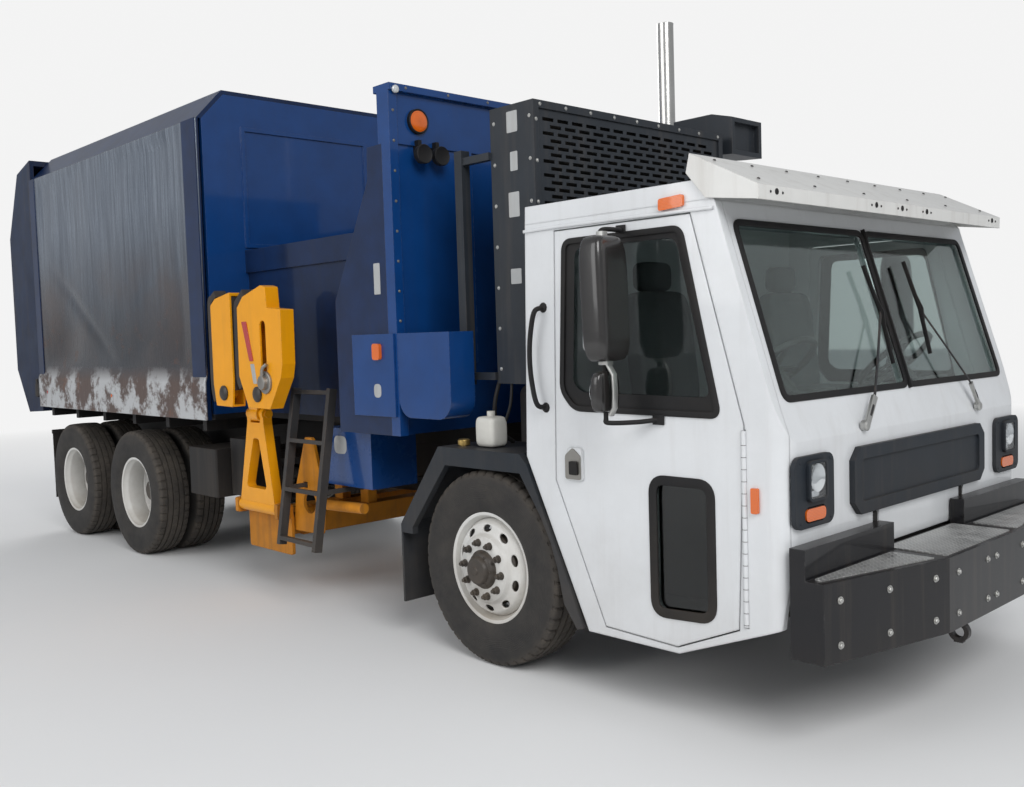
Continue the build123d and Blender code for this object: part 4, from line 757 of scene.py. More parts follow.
CHROME = Finish("stack_steel", (0.60, 0.59, 0.57), 0.26, metal=1.0, dust=0.06, streaks=0.18, chips=0.0,
                mottle=0.1, dirt=(0.30, 0.24, 0.16))
TANK_METAL = Finish("tank_aluminium", (0.62, 0.63, 0.65), 0.34, metal=0.9, dust=0.3, streaks=0.15, chips=0.0)
BLUE = Finish("body_blue", (0.004, 0.046, 0.185), 0.26, coat=0.6, dust=0.06, dust_top=1.5, streaks=0.08,
              chips=0.22, mottle=0.12, waves=0.6, depth=0.00006, edge=0.006, worn=(0.09, 0.085, 0.09),
              dirt=(0.05, 0.045, 0.045), shine=0.3)
BLUE_WORN = Finish("worn_blue", (0.003, 0.018, 0.070), 0.36, coat=0.35, dust=0.12, dust_top=2.0, streaks=0.30,
                   chips=0.4, mottle=0.3, waves=1.0, depth=0.0001, edge=0.006, worn=(0.060, 0.045, 0.040),
                   dirt=(0.022, 0.020, 0.022), shine=0.25)
GATE_BLUE = Finish("gate_blue", (0.004, 0.017, 0.055), 0.42, coat=0.2, dust=0.30, dust_top=3.2, streaks=0.55,
                   chips=0.9, mottle=0.3, waves=0.8, depth=0.0001, edge=0.006, worn=(0.085, 0.052, 0.038),
                   dirt=(0.045, 0.036, 0.032), shine=0.25)
HOPPER_INSIDE = Finish("hopper_inside", (0.012, 0.014, 0.020), 0.55, dust=0.4, dust_top=3.0, streaks=0.6,
                       chips=0.9, mottle=0.3, worn=(0.10, 0.055, 0.035), dirt=(0.045, 0.036, 0.030), shine=0.2)
YELLOW = Finish("arm_yellow", (0.84, 0.345, 0.002), 0.34, coat=0.25, dust=0.12, dust_top=0.9, streaks=0.12,
                chips=0.6, mottle=0.05, worn=(0.11, 0.07, 0.05), dirt=(0.11, 0.075, 0.05), edge=0.005, shine=0.3)
YELLOW_WORN = Finish("arm_yellow_low", (0.66, 0.245, 0.006), 0.46, coat=0.2, dust=0.40, dust_top=1.2, streaks=0.5,
                     chips=1.0, mottle=0.2, worn=(0.10, 0.06, 0.045), dirt=(0.09, 0.06, 0.04), edge=0.005, shine=0.25)
BELT = Finish("belt_rubber", (0.030, 0.030, 0.032), 0.62, dust=0.25, dust_top=2.5, chips=0.0, grain=160.0,
              depth=0.0005, shine=0.2)
STEP_GREY = Finish("step_grey", (0.026, 0.028, 0.032), 0.50, dust=0.25, dust_top=1.6, chips=0.7,
                   worn=(0.17, 0.12, 0.09), shine=0.25)
BOX_BLACK = Finish("box_black", (0.012, 0.012, 0.013), 0.46, dust=0.40, dust_top=1.2, chips=0.4, streaks=0.25,
                   worn=(0.10, 0.065, 0.05), dirt=(0.085, 0.070, 0.056), shine=0.22)
FRAME_BLACK = Finish("frame_black", (0.013, 0.013, 0.014), 0.52, dust=0.40, dust_top=1.2, chips=0.35,
                     worn=(0.09, 0.06, 0.045), dirt=(0.085, 0.070, 0.056), shine=0.22)
IRON = Finish("engine_iron", (0.10, 0.10, 0.10), 0.6, metal=0.3, dust=0.5, dust_top=1.4, chips=0.3)
WHEEL_WHITE = Finish("wheel_white", (0.74, 0.74, 0.72), 0.36, coat=0.3, dust=0.5, dust_top=1.0, streaks=0.1,
                     chips=0.35, mottle=0.06, worn=(0.22, 0.13, 0.08), dirt=(0.30, 0.25, 0.19), edge=0.003)
HUB_DARK = Finish("hub_dark", (0.028, 0.026, 0.025), 0.38, metal=0.2, dust=0.35, dust_top=0.9, chips=0.3,
                  worn=(0.14, 0.10, 0.07))
NUT_STEEL = Finish("nut_steel", (0.30, 0.29, 0.27), 0.4, metal=0.8, dust=0.2, chips=0.3, worn=(0.12, 0.07, 0.05),
                   edge=0.001)
ZINC = Finish("zinc_steel", (0.52, 0.52, 0.50), 0.36, metal=0.85, dust=0.12, chips=0.1, edge=0.001)
HOSE = Finish("hose_rubber", (0.014, 0.014, 0.015), 0.5, dust=0.2, chips=0.0, streaks=0.0, edge=0.001, shine=0.3)
PLATE_PALE = Finish("bare_plate", (0.42, 0.43, 0.43), 0.40, dust=0.15, streaks=0.3, chips=0.3, mottle=0.08,
                    edge=0.001)
RESERVOIR = Finish("reservoir_white", (0.66, 0.65, 0.60), 0.4, dust=0.25, dust_top=1.5, streaks=0.2, chips=0.0)
BRASS = Finish("brass_cap", (0.55, 0.38, 0.13), 0.35, metal=0.9, dust=0.1, chips=0.1)
DASH_GREY = Finish("dash_grey", (0.055, 0.056, 0.058), 0.6, dust=0.1, chips=0.0, grain=500.0, depth=0.0003)
SEAT_FABRIC = Finish("seat_fabric", (0.13, 0.14, 0.145), 0.85, dust=0.1, chips=0.0, streaks=0.0, grain=900.0,
                     depth=0.0006, mottle=0.2)
AMBER = Lens("amber_lens", (0.90, 0.17, 0.010))
RED = Lens("red_lens", (0.55, 0.02, 0.015))
CLEAR = Lens("clear_lens", (0.72, 0.74, 0.74), 0.012)
LAMP_COVER = Glazing("lamp_cover", (0.90, 0.92, 0.93), 0.01, 0.03)
BOWL = Finish("lamp_bowl", (0.80, 0.81, 0.82), 0.10, metal=1.0, dust=0.0, streaks=0.0, chips=0.0, mottle=0.0,
              depth=0.0)
WINDSCREEN = Glazing("screen_glass", (0.62, 0.72, 0.70), 0.01, 0.05)
DOOR_GLAZING = Glazing("door_glass", (0.38, 0.42, 0.42), 0.01, 0.08)


WELD = 0.00002


def add_object(name: str, data: bpy.types.ID) -> bpy.types.Object:
    """A new object in the scene."""
    made = bpy.data.objects.new(name, data)
    bpy.context.scene.collection.objects.link(made)
    return made


def add_piece(name: str, shell: Shell, dress: Dress, body: str, replaced: tuple[str, ...] = (),
              angle: float = 34.0, across: np.ndarray | None = None) -> bpy.types.Object:
    """Puts a shell into the scene as a finished piece on a body.

    Args:
        name: the piece's name.
        shell: its points from the front axle, and its faces.
        dress: its finish.
        body: the CAD body that it rides on.
        replaced: the CAD nodes that it stands for.
        angle: edges sharper than this stay sharp, in degrees.
        across: a value for each point, kept as the attribute "across".
    Returns:
        The new object.
    """
    mesh = bpy.data.meshes.new(name)
    points = shell.moved((AXLE_X, 0, 0)).points
    loops = np.concatenate([group.ravel() for group in shell.faces])
    sizes = np.concatenate([np.full(len(group), group.shape[1]) for group in shell.faces])
    mesh.vertices.add(len(points))
    mesh.vertices.foreach_set("co", points.ravel())
    mesh.loops.add(len(loops))
    mesh.loops.foreach_set("vertex_index", loops.astype(np.int32))
    mesh.polygons.add(len(sizes))
    starts = np.concatenate([[0], np.cumsum(sizes)[:-1]])
    mesh.polygons.foreach_set("loop_start", starts.astype(np.int32))
    mesh.update(calc_edges=True)
    if across is not None:
        mesh.attributes.new("across", "FLOAT", "POINT").data.foreach_set("value", across.astype(np.float32))
    mesh.validate()
    work = bmesh.new()
    work.from_mesh(mesh)
    bmesh.ops.remove_doubles(work, verts=work.verts, dist=WELD)
    bmesh.ops.recalc_face_normals(work, faces=work.faces)
    work.to_mesh(mesh)
    work.free()
    mesh.polygons.foreach_set("use_smooth", np.ones(len(mesh.polygons), bool))
    mesh.set_sharp_from_angle(angle=math.radians(angle))
    mesh.materials.append(dress.material())
    made = add_object(name, mesh)
    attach(made, body)
    if replaced:
        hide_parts(*replaced)
    LOG.info("%s: %d faces on %s", name, len(mesh.polygons), body)
    return made


def thicken(piece: bpy.types.Object, thickness: float, offset: float = -1.0) -> None:
    """Gives an open sheet its wall with Solidify, applied to the mesh."""
    wall = piece.modifiers.new("wall", "SOLIDIFY")
    wall.thickness = thickness
    wall.offset = offset
    graph = bpy.context.evaluated_depsgraph_get()
    solid = bpy.data.meshes.new_from_object(piece.evaluated_get(graph))
    piece.modifiers.clear()
    old = piece.data
    piece.data = solid
    bpy.data.meshes.remove(old)


# Wheels


class Disc(Enum):
    """Which way a wheel's disc bulges."""

    CONVEX = 1.0
    CONCAVE = -1.0


@dataclass
class Wheels:
    """Tyres with moulded tread, and rims with pierced discs, hubs and nuts."""

    hub_z: float = 0.525
    front_y: float = 1.05
    rear_x: tuple[float, float] = (-4.434, -5.802)
    pair_y: float = 0.926
    pair_half: float = 0.159
    tyre_r: float = 0.525
    bead_r: float = 0.286
    tread_half: float = 0.108
    tread_low: float = 0.500
    groove_depth: float = 0.014
    shoulder_notch: float = 0.011
    rib_notch: float = 0.005
    rib_half: float = 0.020
    shoulder_y: float = 0.074
    notch_from: float = 0.34
    wall_points: int = 26
    disc_face: float = 0.156
    disc_wall: float = 0.011
    hole_count: int = 10
    hole_pcr: float = 0.216
    nut_pcr: float = 0.1429
    nut_count: int = 10
    steps_round: int = 288
    lugs: int = 48
    cone_r: tuple[float, ...] = (0.172, 0.190, 0.240, 0.264)
    cone_a: tuple[float, ...] = (0.156, 0.128, 0.110, 0.068)
    groove_at: tuple[float, ...] = (-0.070, -0.026, 0.026, 0.070)

    def tread_section(self) -> tuple[np.ndarray, np.ndarray, np.ndarray]:
        """Half wall, tread with groove edges, half wall.

        Returns:
            The places across, their radii, and a mask of the points that lie in a straight groove.
        """
        wall = curve([(0.100, 0.2865), (0.112, 0.300), (0.128, 0.330), (0.138, 0.370), (0.140, 0.405),
                      (0.1385, 0.440), (0.133, 0.475), (0.126, 0.500), (0.119, 0.513), (0.112, 0.519)],
                     self.wall_points)
        edges = np.array(self.groove_at)[:, None] + np.array([-0.0062, -0.0050, 0.0050, 0.0062])[None]
        ribs = np.linspace(-self.tread_half, self.tread_half, 19)
        top = np.unique(np.concatenate([edges.ravel(), ribs]))
        crown = self.tyre_r - 0.0042 * (top / self.tread_half) ** 2
        deep = (np.abs(top[:, None] - np.array(self.groove_at)[None]) < 0.0055).any(1)
        across = np.concatenate([-wall[:, 0], top, wall[::-1, 0]])
        radius = np.concatenate([wall[:, 1], crown, wall[::-1, 1]])
        mask = np.pad(deep, self.wall_points)
        return across, radius, mask

    def tyre(self, centre: Point) -> tuple[Shell, np.ndarray]:
        """One tyre: radius is the section's, less the straight grooves and the notches that repeat round it.

        Args:
            centre: the tyre's centre.
        Returns:
            The shell, and how far each point is from the bead, 0 to 1.
        """
        across, radius, deep = self.tread_section()
        turn = even_turn(self.steps_round)
        per_lug = self.steps_round // self.lugs
        phase = (np.arange(self.steps_round) % per_lug) / per_lug
        shift = np.where(np.abs(across) > 0.076, 0.0, 0.5)
        notch = np.abs((phase[None] + shift[:, None]) % 1.0 - 0.5) > self.notch_from
        on_tread = radius > self.tread_low
        shoulder = (np.abs(across) > self.shoulder_y) & on_tread
        centre_rib = (np.abs(across) < self.rib_half) & on_tread
        cut = np.where(shoulder[:, None] & notch, self.shoulder_notch, 0.0)
        cut = cut + np.where(centre_rib[:, None] & notch, self.rib_notch, 0.0)
        r = radius[:, None] - np.where(deep[:, None], self.groove_depth, cut)
        points = np.stack([r * np.cos(turn), np.repeat(across[:, None], len(turn), 1), r * np.sin(turn)], -1)
        out = np.repeat(((radius - self.bead_r) / (self.tyre_r - self.bead_r))[:, None], len(turn), 1)
        return surface(points + np.array(centre), wrap_cols=True), out.ravel()

    def disc_cone(self, a0: float, way: float) -> Shell:
        """The cone of a disc with its hand holes, sector by sector.

        In the plane of angle and radius a sector is the blend from an oval hole out to the sector's rectangle;
        the axial place then follows from the radius.

        Args:
            a0: the wheel's centre plane.
            way: 1 where the disc bulges outwards.
        Returns:
            An open sheet.
        """
        s = even_turn(48)
        half = np.pi / self.hole_count
        low, high = self.cone_r[0], self.cone_r[-1]
        hole = np.stack([0.150 * np.cos(s), self.hole_pcr + 0.019 * np.sin(s)], -1)
        scale_r = np.where(np.sin(s) > 0, high - self.hole_pcr, self.hole_pcr - low)
        unit = np.maximum(np.abs(np.cos(s)), np.abs(np.sin(s)))
        frame = np.stack([half * np.cos(s) / unit, self.hole_pcr + scale_r * np.sin(s) / unit], -1)
        t = np.linspace(0, 1, 8)[:, None, None]
        flat = hole[None] * (1 - t) + frame[None] * t
        radius = flat[..., 1]
        axial = np.interp(radius, self.cone_r, self.cone_a)
        sheets = []
        for index in range(self.hole_count):
            turn = flat[..., 0] + 2 * half * (index + 0.5)
            points = np.stack([radius * np.cos(turn), way * axial + a0, radius * np.sin(turn)], -1)
            sheets.append(surface(points, wrap_cols=True))
        return join(*sheets)

    def rim(self, a0: float, disc: Disc) -> tuple[Shell, Shell]:
        """Barrel and disc round the Y axis.

        Args:
            a0: the wheel's centre plane.
            disc: which way its disc bulges.
        Returns:
            The closed barrel, and the disc as an open sheet.
        """
        way = disc.value
        barrel = lathe([
            (-0.113, 0.2925), (-0.1125, 0.2985), (-0.108, 0.2992), (-0.1053, 0.296), (-0.1053, 0.2862),
            (0.1053, 0.2862), (0.1053, 0.296), (0.108, 0.2992), (0.1125, 0.2985), (0.113, 0.2925),
            (0.108, 0.281), (0.084, 0.276), (0.074, 0.266), (0.060, 0.262), (-0.056, 0.262), (-0.072, 0.268),
            (-0.084, 0.276), (-0.108, 0.281), (-0.113, 0.2925),
        ], (0, a0, 0), "Y", 96)
        face = lathe([(way * self.disc_face + a0, r) for r in (0.070, 0.120, 0.172)], ORIGIN, "Y", 96)
        return barrel, join(self.disc_cone(a0, way), face)

    def nuts(self, a0: float) -> Shell:
        """The wheel nuts with their studs."""
        nut = lathe([(0, 0.0215), (0.004, 0.0215), (0.005, 0.0175), (0.024, 0.0175), (0.027, 0.0150), (0.027, 0.0105),
                     (0.040, 0.0100), (0.041, 0.0)], ORIGIN, "Z", 12)
        return stamp(nut, bolt_circle((0, a0, 0), self.nut_pcr, self.nut_count, 0.1), (0, 1, 0))

    def place(self, shell: Shell, x: float, y: float, way: float) -> Shell:
        """Moves a wheel's shell from the origin to its axle; way -1 faces right."""
        turned = shell if way > 0 else shell.turned("Z", 180)
        return turned.moved((x, y, self.hub_z))

    def centre_parts(self, name: str, body: str, spot: Point, parts: dict[str, Shell]) -> None:
        """The dark parts in the middle of a wheel; spot is its X, its Y and the side that it faces."""
        for label, shell in parts.items():
            add_piece(name.format(label), self.place(shell, *spot), HUB_DARK, body)

    def build_front(self, side: str, way: float) -> None:
        """One steer wheel with its tyre, hub and nuts."""
        body = f"front_wheel_{side}"
        y = way * self.front_y
        tyre, across = self.tyre((0, y, self.hub_z))
        add_piece(f"front_tyre_{side}_tread", tyre, TyreRubber(), body, (f"front_tyre_{side}",), 30, across)
        barrel, disc = self.rim(0.0, Disc.CONVEX)
        add_piece(f"front_rim_{side}", self.place(barrel, 0, y, way), WHEEL_WHITE, body, (f"front_wheel_{side}",))
        sheet = add_piece(f"front_disc_{side}", self.place(disc, 0, y, way), WHEEL_WHITE, body, angle=50)
        thicken(sheet, self.disc_wall)
        hub = lathe([
            (0.120, 0.0), (0.120, 0.100), (0.1565, 0.104), (0.158, 0.098), (0.176, 0.092), (0.182, 0.086),
            (0.186, 0.076), (0.205, 0.072), (0.211, 0.066), (0.2135, 0.050), (0.2135, 0.022), (0.2190, 0.018),
            (0.2190, 0.0),
        ], ORIGIN, "Y", 48)
        hub = join(hub, stamp(bolt(0.006, 0.007), bolt_circle((0, 0.183, 0), 0.081, 6), (0, 1, 0)))
        drum = lathe([(-0.062, 0.188), (-0.062, 0.205), (-0.050, 0.2055), (0.100, 0.199), (0.112, 0.190),
                      (0.142, 0.158), (0.142, 0.0)], ORIGIN, "Y", 64)
        parts = {"hub": hub, "nuts": self.nuts(self.disc_face), "drum": drum}
        self.centre_parts(f"front_{{}}_{side}", body, (0, y, way), parts)

    def build_pair(self, axle: str, x: float, side: str, way: float) -> None:
        """One rear pair of wheels with tyres, hub, nuts and drum."""
        body = f"{axle}_wheels_{side}"
        y = way * self.pair_y
        made = [self.tyre((x, y + offset, self.hub_z)) for offset in (self.pair_half, -self.pair_half)]
        across = np.concatenate([values for _, values in made])
        tyres = join(*(shell for shell, _ in made))
        add_piece(f"{axle}_tyres_{side}_tread", tyres, TyreRubber(), body, (f"{axle}_tyres_{side}",), 30, across)
        outer = self.rim(self.pair_half, Disc.CONCAVE)
        inner = self.rim(-self.pair_half, Disc.CONVEX)
        barrels = self.place(join(outer[0], inner[0]), x, y, way)
        add_piece(f"{axle}_rims_{side}", barrels, WHEEL_WHITE, body, (f"{axle}_wheels_{side}",))
        for label, (_, disc) in (("outer", outer), ("inner", inner)):
            shell = self.place(disc, x, y, way)
            sheet = add_piece(f"{axle}_{label}_disc_{side}", shell, WHEEL_WHITE, body, angle=50)
            thicken(sheet, self.disc_wall, 1.0)
        hub = lathe([
            (-0.190, 0.040), (-0.190, 0.096), (-0.020, 0.110), (-0.020, 0.150), (0.014, 0.150), (0.016, 0.110),
            (0.100, 0.104), (0.106, 0.098), (0.112, 0.098), (0.114, 0.088), (0.148, 0.080), (0.156, 0.066),
            (0.1565, 0.0),
        ], ORIGIN, "Y", 48)
        hub = join(hub, stamp(bolt(0.008, 0.009), bolt_circle((0, 0.113, 0), 0.0905, 8), (0, 1, 0)))
        drum = lathe([(-0.186, 0.182), (-0.186, 0.200), (-0.172, 0.2005), (-0.060, 0.196), (-0.030, 0.160),
                      (-0.016, 0.140), (-0.016, 0.0)], ORIGIN, "Y", 64)
        parts = {"hub": hub, "nuts": self.nuts(0.012), "drum": drum}
        self.centre_parts(f"{axle}_{{}}_{side}", body, (x, y, way), parts)

    def build(self) -> None:
        """All ten wheels."""
        for side, way in SIDES:
            self.build_front(side, way)
            for axle, x in zip(("mid", "rear"), self.rear_x):
                self.build_pair(axle, x, side, way)


# Cab


@dataclass
class Cab:
    """What dresses the cab: seals, wipers, lamps, handles, mirrors and seats."""

    half: float = 1.19
    face_x: float = 1.82
    screen_low: tuple[float, float] = (1.770, 1.436)
    screen_high: tuple[float, float] = (1.524, 2.233)
    screen_half: float = 1.096
    divider: float = 0.016
    door_window: tuple = ((0.642, 2.196), (0.604, 1.488), (0.682, 1.402), (1.506, 1.396), (1.326, 2.196))
    clear_window: tuple = ((0.706, 2.158), (0.674, 1.524), (0.726, 1.480), (1.462, 1.472), (1.298, 2.158))
    low_window: tuple = ((1.146, 0.500), (1.458, 0.520), (1.458, 1.100), (1.146, 1.100))
    lamp_y: float = 1.0
    lip_x: float = 1.7275
    lip_lamps_y: tuple = (-1.074, -0.231, 0.027, 0.291, 1.096)
    seat_y: float = 0.60
    mirror: Point = (1.035, -1.366, 1.906)
    small_mirror_z: float = 1.500
    tube_r: float = 0.011

    def screen_axes(self) -> tuple[np.ndarray, np.ndarray, float]:
        """The way up the windscreen and its outward normal, both in X and Z, and its length up the slope."""
        rise = np.array(self.screen_high) - np.array(self.screen_low)
        length = float(np.linalg.norm(rise))
        slope = rise / length
        return slope, np.array([slope[1], -slope[0]]), length

    def on_screen(self, flat: np.ndarray, out: float) -> np.ndarray:
        """Places on the windscreen's plane: across is Y, up is the way along the slope, out is along its normal."""
        slope, normal, _ = self.screen_axes()
        x, z = (self.screen_low[k] + slope[k] * flat[:, 1] + normal[k] * out for k in (0, 1))
        return np.stack([x, flat[:, 0], z], -1)

    def screen_seals(self) -> None:
        """Rubber round both panes and the trim down the divider."""
        _, normal, length = self.screen_axes()
        seals = []
        for way in WAYS:
            outline = pane(way * self.divider, way * self.screen_half, 0.03, length - 0.03, 0.045, 8)
            path = self.on_screen(outline, 0.002)
            seals.append(sweep(path, bar(0.030, 0.012, 0.004), (normal[0], 0.0, normal[1]), closed=True))
        add_piece("screen_seals", join(*seals), GASKET, "cab")
        flat = np.array([(0.0, 0.012), (0.0, length - 0.012)])
        trim = sweep(self.on_screen(flat, 0.008), bar(0.022, 0.010, 0.003), (0, 1, 0))
        add_piece("screen_divider", trim, GASKET, "cab")

    def door_seals(self, side: str, way: float) -> None:
        """Rubber round both windows of a door, and the dark band inside the upper pane."""
        seals = []
        for outline, corner, width in ((self.door_window, 0.045, 0.028), (self.low_window, 0.065, 0.044)):
            path = laid(rounded(outline, corner, 8), -self.half - 0.001)
            seals.append(sweep(path, bar(width, 0.012, 0.004), (0, -1, 0), closed=True))
        border = collar(rounded(self.door_window, 0.045, 8), rounded(self.clear_window, 0.045, 8),
                        -self.half + 0.0035, -self.half + 0.0045)
        shell = join(*seals, border)
        add_piece(f"door_seals_{side}", shell if way < 0 else shell.mirrored(), GASKET, f"door_{side}")

    def wipers(self) -> None:
        """Two wipers: bright pivots and feet, grey arms and black blades."""
        arms, feet, blades = [], [], []
        up = (0.9, 0, 0.4)
        for pivot, mid, top, foot in (
            ((1.838, -0.560, 1.318), (1.682, -0.110, 1.815), (1.612, -0.144, 2.040), (1.757, -0.140, 1.572)),
            ((1.838, 0.640, 1.318), (1.684, 0.300, 1.829), (1.602, 0.292, 2.070), (1.746, 0.276, 1.604)),
        ):
            knee = tuple(0.78 * a + 0.22 * b + c for a, b, c in zip(pivot, mid, (0.022, 0.0, 0.012)))
            arms.append(sweep(curve([pivot, knee, mid], 14), bar(0.014, 0.006, 0.002), up))
            feet.append(sweep([pivot, knee], bar(0.030, 0.018, 0.005), up))
            feet.append(lathe([(0.0, 0.024), (0.022, 0.024), (0.028, 0.016), (0.028, 0)],
                              (self.face_x, pivot[1], pivot[2]), "X", 20))
            blades.append(sweep([top, mid, foot], bar(0.010, 0.020, 0.003), up))
            upper, lower = (tuple(0.5 * (a + b) for a, b in zip(end, mid)) for end in (top, foot))
            bridge = [upper, tuple(m + s for m, s in zip(mid, (0.014, 0, 0.005))), lower]
            blades.append(sweep(bridge, bar(0.008, 0.006), up))
        add_piece("wiper_arms", join(*arms), STEP_GREY, "cab")
        add_piece("wiper_feet", join(*feet), ZINC, "cab")
        add_piece("wiper_blades", join(*blades), GASKET, "cab")

    def lamps(self) -> None:
        """Headlamps, turn signals, side markers and the roof markers."""
        face = self.face_x
        amber, covers, bowls, dark = [], [], [], []
        for way in WAYS:
            y, skin = way * self.lamp_y, way * self.half
            window = pane(y - 0.066, y + 0.066, 1.052, 1.208, 0.022)
            covers.append(slab(window, face + 0.031, face + 0.036, "X"))
            bowls.append(slab(window, face + 0.0165, face + 0.0175, "X"))
            bowls.append(lathe([(0.0180, 0.0), (0.0185, 0.020), (0.0225, 0.042), (0.0300, 0.056), (0.0305, 0.058)],
                               (face, y, 1.142), "X", 40))
            path = laid(window, face + 0.026, "X")
            dark.append(sweep(path, bar(0.014, 0.026, 0.004), (1, 0, 0), closed=True))
            amber.append(slab(pane(y - 0.077, y + 0.077, 0.966, 1.018, 0.025), face + 0.016, face + 0.024, "X"))
            amber.append(slab(pane(1.663, 1.697, 1.002, 1.108, 0.008, 4), skin, way * (self.half + 0.014)))
            roof = rounded([(1.222, 2.276), (1.352, 2.284), (1.352, 2.336), (1.222, 2.328)], 0.012, 4)
            amber.append(slab(roof, skin, way * (self.half + 0.016)))
            screws = [(face + 0.020, y + way * dy, z) for dy in (-0.12, 0.115) for z in (0.965, 1.212)]
            dark.append(stamp(dome(0.007, 0.004), screws, (1, 0, 0)))
        add_piece("headlamp_covers", join(*covers), LAMP_COVER, "cab")
        add_piece("headlamp_bowls", join(*bowls), BOWL, "cab")
        add_piece("headlamp_rims", join(*dark), SLATE, "cab")
        add_piece("amber_lamps", join(*amber), AMBER, "cab")

    def visor_trim(self) -> None:
        """Blank marker openings on the visor's lip, and the screws that hold the sheet."""
        holes = lathe([(0.0, 0.013), (0.002, 0.013), (0.002, 0.0)], ORIGIN, "Z", 16)
        spots = [(self.lip_x, y, 2.309) for y in self.lip_lamps_y]
        add_piece("visor_holes", stamp(holes, spots, (1, 0, 0)), GASKET, "cab")
        small = [(self.lip_x, y + d, 2.306) for y in self.lip_lamps_y for d in (-0.045, 0.045)]
        top = [(1.46, y, 2.4685) for y in np.linspace(-1.12, 1.12, 9)]
        top += [(1.66, y, 2.368) for y in np.linspace(-1.1, 1.1, 6)]
        screws = join(stamp(dome(0.006, 0.004), small, (1, 0, 0)), stamp(dome(0.008, 0.005), top, (0.449, 0, 0.893)))
        add_piece("visor_screws", screws, STEP_GREY, "cab")

    def handles(self) -> None:
        """Bowed grab rails behind the doors, the hinge knuckles and the latch plates."""
        rails, knuckles = [], []
        for side, way in SIDES:
            y = way * self.half
            out = way * (self.half + 0.050)
            path = curve([(0.490, y, 1.890), (0.478, out, 1.870), (0.446, out, 1.760), (0.436, out, 1.645),
                          (0.446, out, 1.530), (0.478, out, 1.420), (0.490, y, 1.400)], 40)
            rails.append(sweep(path, ring(0.0125, 12), (0.2, 1, 0)))
            rails.append(stamp(dome(0.026, 0.012), [(0.49, y, 1.89), (0.49, y, 1.40)], (0, way, 0)))
            latch = [(0.626, 1.062), (0.726, 1.062), (0.726, 1.176), (0.676, 1.214), (0.626, 1.176)]
            plate = slab(rounded(latch, 0.012, 4), y + way * 0.012, y + way * 0.019)
            lever = slab(pane(0.660, 0.712, 1.085, 1.150, 0.008, 4), y + way * 0.017, y + way * 0.030)
            add_piece(f"door_latch_{side}", plate, NUT_STEEL, f"door_{side}")
            add_piece(f"door_lever_{side}", lever, GASKET, f"door_{side}")
            joints = [(1.626, y + way * 0.0005, z) for z in np.arange(0.53, 1.33, 0.05)]
            band = lathe([(-0.001, 0.0116), (0.001, 0.0116)], ORIGIN, "Z", 16)
            knuckles.append(stamp(band, joints, (0, 0, 1)))
        add_piece("grab_rails", join(*rails), GASKET, "cab")
        add_piece("hinge_joints", join(*knuckles), GASKET, "cab")

    def drip_rails(self) -> None:
        """Gutter along each side under the roof."""
        rails = []
        for way in WAYS:
            y = way * (self.half + 0.004)
            path = [(0.372, y, 2.268), (0.60, y, 2.272), (1.10, y, 2.268), (1.50, y, 2.262)]
            rails.append(sweep(path, bar(0.010, 0.016, 0.003), (0, 0, 1)))
        add_piece("drip_rails", join(*rails), CAB_WHITE, "cab")

    def mirrors(self, side: str, way: float) -> None:
        """Tall mirror head, small convex mirror, their tube bracket and its clamps."""
        body = f"door_{side}"
        x, y, _ = self.mirror
        skin = -self.half
        head = pillow(ORIGIN, (0.146, 0.208, 0.548), 0.36, 49, 64)
        front = head.points[:, 0]
        head.points[:, 0] = np.where(front < 0, front * 0.72, front * 1.05)
        head = head.turned("Y", -2).moved(self.mirror)
        small = pillow((x - 0.002, y, self.small_mirror_z), (0.062, 0.150, 0.182), 0.5, 25, 40)
        glass = join(
            slab(pane(-0.078, 0.078, -0.232, 0.232, 0.04, 8), -0.0545, -0.0515, "X").moved(self.mirror),
            lathe([(0.0, 0.0), (0.001, 0.066), (0.003, 0.067), (0.003, 0.0)], (x - 0.036, y, self.small_mirror_z),
                  "X", 40),
        )
        bracket = join(
            tube([(x, y, 1.370), (x, y, 1.660)], self.tube_r, (1, 0, 0)),
            tube([(x, y, 2.150), (x - 0.004, y + 0.004, 2.205), (x - 0.012, skin - 0.06, 2.214),
                  (0.997, skin - 0.001, 2.214)], self.tube_r, (1, 0, 0), count=22),
            tube([(x, y, 1.380), (x + 0.008, y + 0.005, 1.362), (1.12, -1.262, 1.360), (1.187, skin - 0.001, 1.368)],
                 self.tube_r, count=22),
            box(1.160, 1.222, skin - 0.012, skin - 0.0003, 1.346, 1.391, 0.01),
            box(0.974, 1.028, skin - 0.012, skin - 0.0003, 2.205, 2.239, 0.01),
        )
        clamp = join(
            sweep([(x + 0.030, y, 1.396), (x + 0.052, y, 1.430), (x + 0.056, y, 1.500), (x + 0.052, y, 1.575),
                   (x + 0.016, y, 1.628)], bar(0.012, 0.030, 0.003), (0, 1, 0)),
            box(x - 0.020, x + 0.034, y - 0.022, y + 0.022, 1.618, 1.646, 0.006),
            box(x - 0.018, x + 0.022, y - 0.018, y + 0.018, 2.164, 2.200, 0.006),
        )
        parts = (("head", join(head, small), MIRROR_BLACK), ("glass", glass, MIRROR_GLASS),
                 ("bracket", bracket, GASKET), ("clamp", clamp, ZINC))
        for label, shell, dress in parts:
            shown = shell if way < 0 else shell.mirrored()
            replaced = (f"mirror_{side}",) if label == "head" else ()
            add_piece(f"mirror_{label}_{side}", shown, dress, body, replaced, 40)

